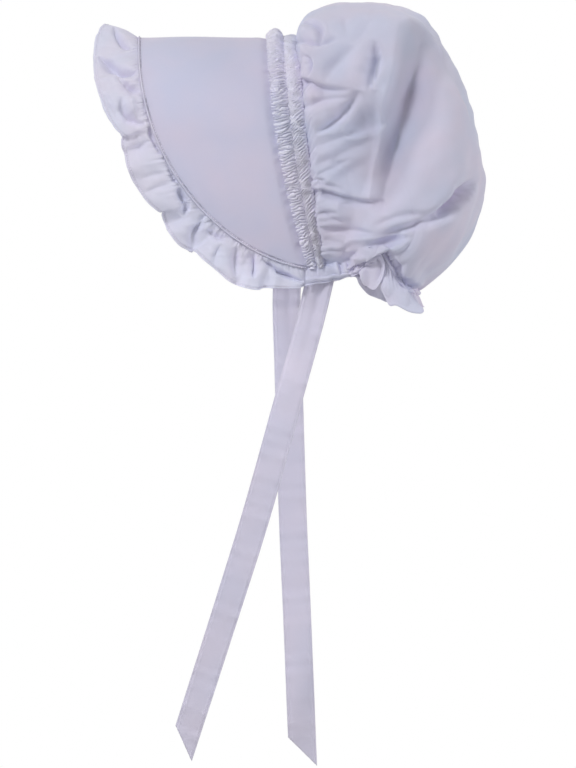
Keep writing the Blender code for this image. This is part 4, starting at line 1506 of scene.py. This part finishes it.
class BONNET_OT_brim(bpy.types.Operator):
    """Sew the stiff brim with its rolled seam"""
    bl_idname = "bonnet.brim"
    bl_label = "Brim"

    def execute(self, context):
        columns = np.linspace(-1.0, 1.0, 301)
        rows = np.concatenate([np.linspace(0.0, EDGE_ROWS, 15), np.linspace(EDGE_ROWS, 1.0, 46)[1:]])
        size = (SEAM_LENGTH, BRIM_DEPTH)
        piece, _ = sewn("brim_cloth", brim_points, columns, rows, size, cotton_of("brim"))
        add_wall(piece, BRIM_THICKNESS)
        settle(piece, "brim_cotton", "brim")
        return {"FINISHED"}


class BONNET_OT_ruffle(bpy.types.Operator):
    """Sew the gathered ruffle in front of the brim"""
    bl_idname = "bonnet.ruffle"
    bl_label = "Brim ruffle"

    def execute(self, context):
        own = settings()
        columns = np.linspace(-1.0, 1.0, 1001)
        rows = np.linspace(0.0, 1.0, 37)
        size = (SEAM_LENGTH * RUFFLE_FULLNESS, RUFFLE_DEPTH)
        piece, row = sewn("ruffle_cloth", ruffle_points, columns, rows, size, cotton_of("ruffle"))
        weigh(piece, "hem", 1.0 - ease((rows[row] - RUFFLE_HEM) / RUFFLE_HEM_FADE))
        add_wall(piece, HEM_LAYERS * own.cloth_thickness, "hem", 1.0 / HEM_LAYERS)
        settle(piece, "white_cotton", "brim_ruffle")
        return {"FINISHED"}


class BONNET_OT_band(bpy.types.Operator):
    """Sew the shirred channel and the frilled heading"""
    bl_idname = "bonnet.band"
    bl_label = "Gathered band"

    def execute(self, context):
        columns = np.linspace(-1.0, 1.0, 1301)
        rows = np.linspace(0.0, 1.0, 17)
        size = (BAND_LENGTH, HEADING_DEPTH)
        heading, row = sewn("heading_cloth", heading_points, columns, rows, size, cotton_of("band"))
        pull = 1.0 - beaded(rows, HEADING_CALM)
        pleat(heading, pull[row], 1.0 - ease(rows / HEADING_FRILL)[row], HEADING_PLEATS)
        add_wall(heading, settings().cloth_thickness)
        settle(heading, "band_cotton", "band_heading")
        rows = np.linspace(0.0, 1.0, 25)
        size = (BAND_LENGTH, CHANNEL_DEPTH)
        channel, row = sewn("channel_cloth", band_points, columns, rows, size, cotton_of("band"))
        pull = ease(rows / CHANNEL_GROWTH) * (1.0 - beaded(rows, CHANNEL_CALM))
        pleat(channel, pull[row], np.zeros(len(row)), CHANNEL_PLEATS)
        add_wall(channel, CHANNEL_THICKNESS)
        settle(channel, "band_cotton", "gathered_band")
        return {"FINISHED"}


def column_density(share):
    """How close the crown's columns stand, closer on its seen side."""
    return 1.0 + 0.5 * ease((share - 0.4) / 0.2)


def row_density(share):
    """How close the crown's rows stand, closer where its form turns most."""
    return 1.0 + sum(beaded(share, bead) for bead in CROWN_CLOSE_ROWS)


class BONNET_OT_crown(bpy.types.Operator):
    """Sew the large gathered crown"""
    bl_idname = "bonnet.crown"
    bl_label = "Crown"

    def execute(self, context):
        own = settings()
        columns = spaced(column_density, own.crown_columns) * 2.0 - 1.0
        rows = spaced(row_density, own.crown_rows)
        points = grid_points(crown_points, columns, rows)
        mesh, column, row = cloth_mesh("crown_cloth", columns, rows, points, CROWN_SIZE)
        # Painted shade: stores how far the crown lies in deep folds, which darkens its colour there
        set_numbers(mesh, "painted_shade", crown_painted_shade(points)[column, row])
        piece = new_piece("crown_cloth", mesh, cotton_of("crown"))
        add_wall(piece, own.cloth_thickness)
        settle(piece, "white_cotton", "crown")
        return {"FINISHED"}


class BONNET_OT_neck(bpy.types.Operator):
    """Sew the neck casing and its frill"""
    bl_idname = "bonnet.neck"
    bl_label = "Neck edge"

    def execute(self, context):
        own = settings()
        columns = np.linspace(-1.0, 1.0, 401)
        rows = np.linspace(0.0, 1.0, 31)
        size = (NECK_LENGTH, CASING_DEPTH)
        piece, _ = sewn("casing_cloth", casing_points, columns, rows, size, cotton_of("crown"))
        piece.data.flip_normals()
        add_wall(piece, CASING_LAYERS * own.cloth_thickness)
        settle(piece, "white_cotton", "neck_casing")
        columns = np.linspace(-1.0, 1.0, 601)
        rows = np.linspace(0.0, 1.0, 21)
        size = (NECK_LENGTH * FRILL_FULLNESS, FRILL_DEPTH)
        piece, row = sewn("frill_cloth", frill_points, columns, rows, size, cotton_of("crown"))
        piece.data.flip_normals()
        weigh(piece, "hem", ease((rows[row] - FRILL_HEM) / FRILL_HEM_FADE))
        add_wall(piece, HEM_LAYERS * own.cloth_thickness, "hem", 1.0 / HEM_LAYERS)
        settle(piece, "white_cotton", "neck_frill")
        return {"FINISHED"}


class BONNET_OT_ties(bpy.types.Operator):
    """Sew the two long ties"""
    bl_idname = "bonnet.ties"
    bl_label = "Ties"

    def execute(self, context):
        material = cotton_of("tie")
        across = np.linspace(0.0, 1.0, 41)
        up = np.linspace(0.0, 1.0, 241)
        for node, line in (("tie_left", TIE_LEFT_LINE), ("tie_right", TIE_RIGHT_LINE)):
            surface, length = tie_points(line)
            piece, _ = sewn(node + "_cloth", surface, across, up, (TIE_WIDTH, length), material)
            add_wall(piece, TIE_THICKNESS).offset = 0.0
            settle(piece, "tie_cotton", node)
        return {"FINISHED"}


class BONNET_OT_stitches(bpy.types.Operator):
    """Lay the topstitching, the hem stitches and the gathering threads"""
    bl_idname = "bonnet.stitches"
    bl_label = "Stitches"

    def execute(self, context):
        columns = np.linspace(-0.99, 0.99, 600)
        lines = [surface_line(brim_points, columns, SEAM_ROW),
                 surface_line(ruffle_points, columns, HEM_PLACE)]
        settle(stitched("seam_stitches", lines, SEAM_STITCH), "white_cotton")
        lines = [surface_line(band_points, columns, *row) for row in BAND_ROWS]
        settle(stitched("band_stitches", lines, BAND_STITCH), "white_cotton")
        ends = (np.linspace(0.6, 0.99, 150), np.linspace(-0.99, -0.6, 150))
        lines = [surface_line(casing_points, columns, *HEM_ROW) for columns in ends]
        settle(stitched("hem_stitches", lines, HEM_STITCH), "white_cotton")
        return {"FINISHED"}


class BONNET_OT_stage(bpy.types.Operator):
    """Set the floor, the soft lights and the camera"""
    bl_idname = "bonnet.stage"
    bl_label = "Stage"

    def execute(self, context):
        make_floor()
        make_lights()
        make_camera()
        return {"FINISHED"}


def make_floor():
    """Wide pale floor, as far below the bonnet as its standing wearer needs."""
    disc = bmesh.new()
    bmesh.ops.create_circle(disc, cap_ends=True, segments=96, radius=FLOOR_RADIUS)
    mesh = bpy.data.meshes.new("floor")
    disc.to_mesh(mesh)
    disc.free()
    material = bpy.data.materials.new("pale_floor")
    material.use_nodes = True
    nodes = Nodes(material.node_tree)
    shader = material.node_tree.nodes["Principled BSDF"]
    place = nodes.value("ShaderNodeTexCoord", output="Object")
    grain = nodes.value("ShaderNodeTexNoise", {}, {"Vector": place, "Scale": 3.0, "Detail": 3.0})
    color = nodes.add("ShaderNodeMix", {"data_type": "RGBA"},
                      {6: (0.62, 0.62, 0.63, 1.0), 7: (0.68, 0.68, 0.68, 1.0)})
    nodes.link(grain, color, 0)
    nodes.link(Value(nodes, color.outputs[2]), shader, "Base Color")
    shader.inputs["Roughness"].default_value = 0.9
    floor = new_piece("floor", mesh, material)
    floor.location = (0.0, 0.0, FLOOR_LEVEL)


def place_lamp(data, lamp, target):
    """Puts a lamp at its place, turned to a target."""
    light = bpy.data.objects.new(lamp.name, data)
    light.location = (lamp.x, lamp.y, lamp.z)
    light.rotation_euler = (target - light.location).to_track_quat("-Z", "Y").to_euler()
    bpy.context.scene.collection.objects.link(light)


def make_lights():
    """White surroundings, large soft lamps and a small one for the far tie's top."""
    world = bpy.data.worlds.new("studio")
    world.use_nodes = True
    nodes = Nodes(world.node_tree)
    direction = nodes.value("ShaderNodeTexCoord", output="Generated")
    behind = nodes.value("ShaderNodeVectorMath", {"operation": "DOT_PRODUCT"},
                         {0: direction, 1: (-1.0, 0.0, 0.0)}, "Value")
    share = nodes.value("ShaderNodeMapRange", {"interpolation_type": "SMOOTHSTEP"},
                        {"Value": behind, "From Min": 0.3, "From Max": 0.95,
                         "To Min": SURROUND_LEVEL, "To Max": BACKDROP_LEVEL})
    nodes.link(share, world.node_tree.nodes["Background"], "Strength")
    world.node_tree.nodes["Background"].inputs["Color"].default_value = (1.0, 1.0, 1.0, 1.0)
    bpy.context.scene.world = world
    for lamp in LAMPS:
        data = bpy.data.lights.new(lamp.name, "AREA")
        data.shape = "DISK"
        data.size = lamp.size
        data.energy = lamp.power
        place_lamp(data, lamp, VIEW_CENTRE)
    spot = bpy.data.lights.new(TIE_LAMP.name, "SPOT")
    spot.shadow_soft_size = TIE_LAMP.size
    spot.spot_size = TIE_LAMP_CONE
    spot.spot_blend = 1.0
    spot.energy = TIE_LAMP.power
    place_lamp(spot, TIE_LAMP, TIE_TOP)


def make_camera():
    """Long lens square to the wearer's left side."""
    distance = settings().camera_distance
    camera = bpy.data.cameras.new("camera")
    camera.sensor_width = SENSOR * 1000.0
    camera.lens = SENSOR * 1000.0 * distance / (METRES_PER_PIXEL * IMAGE_HEIGHT)
    view = bpy.data.objects.new("camera", camera)
    view.location = VIEW_CENTRE + Vector((distance, 0.0, 0.0))
    view.rotation_euler = (pi / 2.0, 0.0, pi / 2.0)
    bpy.context.scene.collection.objects.link(view)
    bpy.context.scene.camera = view
    bpy.context.scene.view_settings.view_transform = "Standard"


class BONNET_PT_panel(bpy.types.Panel):
    """Lists the bonnet's settings and pieces"""
    bl_idname = "BONNET_PT_panel"
    bl_label = "Prairie Bonnet"
    bl_space_type = "VIEW_3D"
    bl_region_type = "UI"
    bl_category = "Bonnet"

    def draw(self, context):
        for name in BonnetSettings.__annotations__:
            self.layout.prop(context.scene.bonnet, name)
        for operator in PIECES:
            self.layout.operator(operator.bl_idname)


PIECES = (BONNET_OT_brim, BONNET_OT_ruffle, BONNET_OT_band, BONNET_OT_crown, BONNET_OT_neck,
          BONNET_OT_ties, BONNET_OT_stitches, BONNET_OT_stage)
CLASSES = (BonnetSettings, *PIECES, BONNET_PT_panel)


def register():
    """Adds the settings, operators and panel."""
    for item in CLASSES:
        bpy.utils.register_class(item)
    bpy.types.Scene.bonnet = PointerProperty(type=BonnetSettings)


def unregister():
    """Removes them again."""
    del bpy.types.Scene.bonnet
    for item in reversed(CLASSES):
        bpy.utils.unregister_class(item)


def main():
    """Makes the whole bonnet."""
    register()
    bpy.ops.bonnet.brim()
    bpy.ops.bonnet.ruffle()
    bpy.ops.bonnet.band()
    bpy.ops.bonnet.crown()
    bpy.ops.bonnet.neck()
    bpy.ops.bonnet.ties()
    bpy.ops.bonnet.stitches()
    bpy.ops.bonnet.stage()


if __name__ == "__main__":
    main()
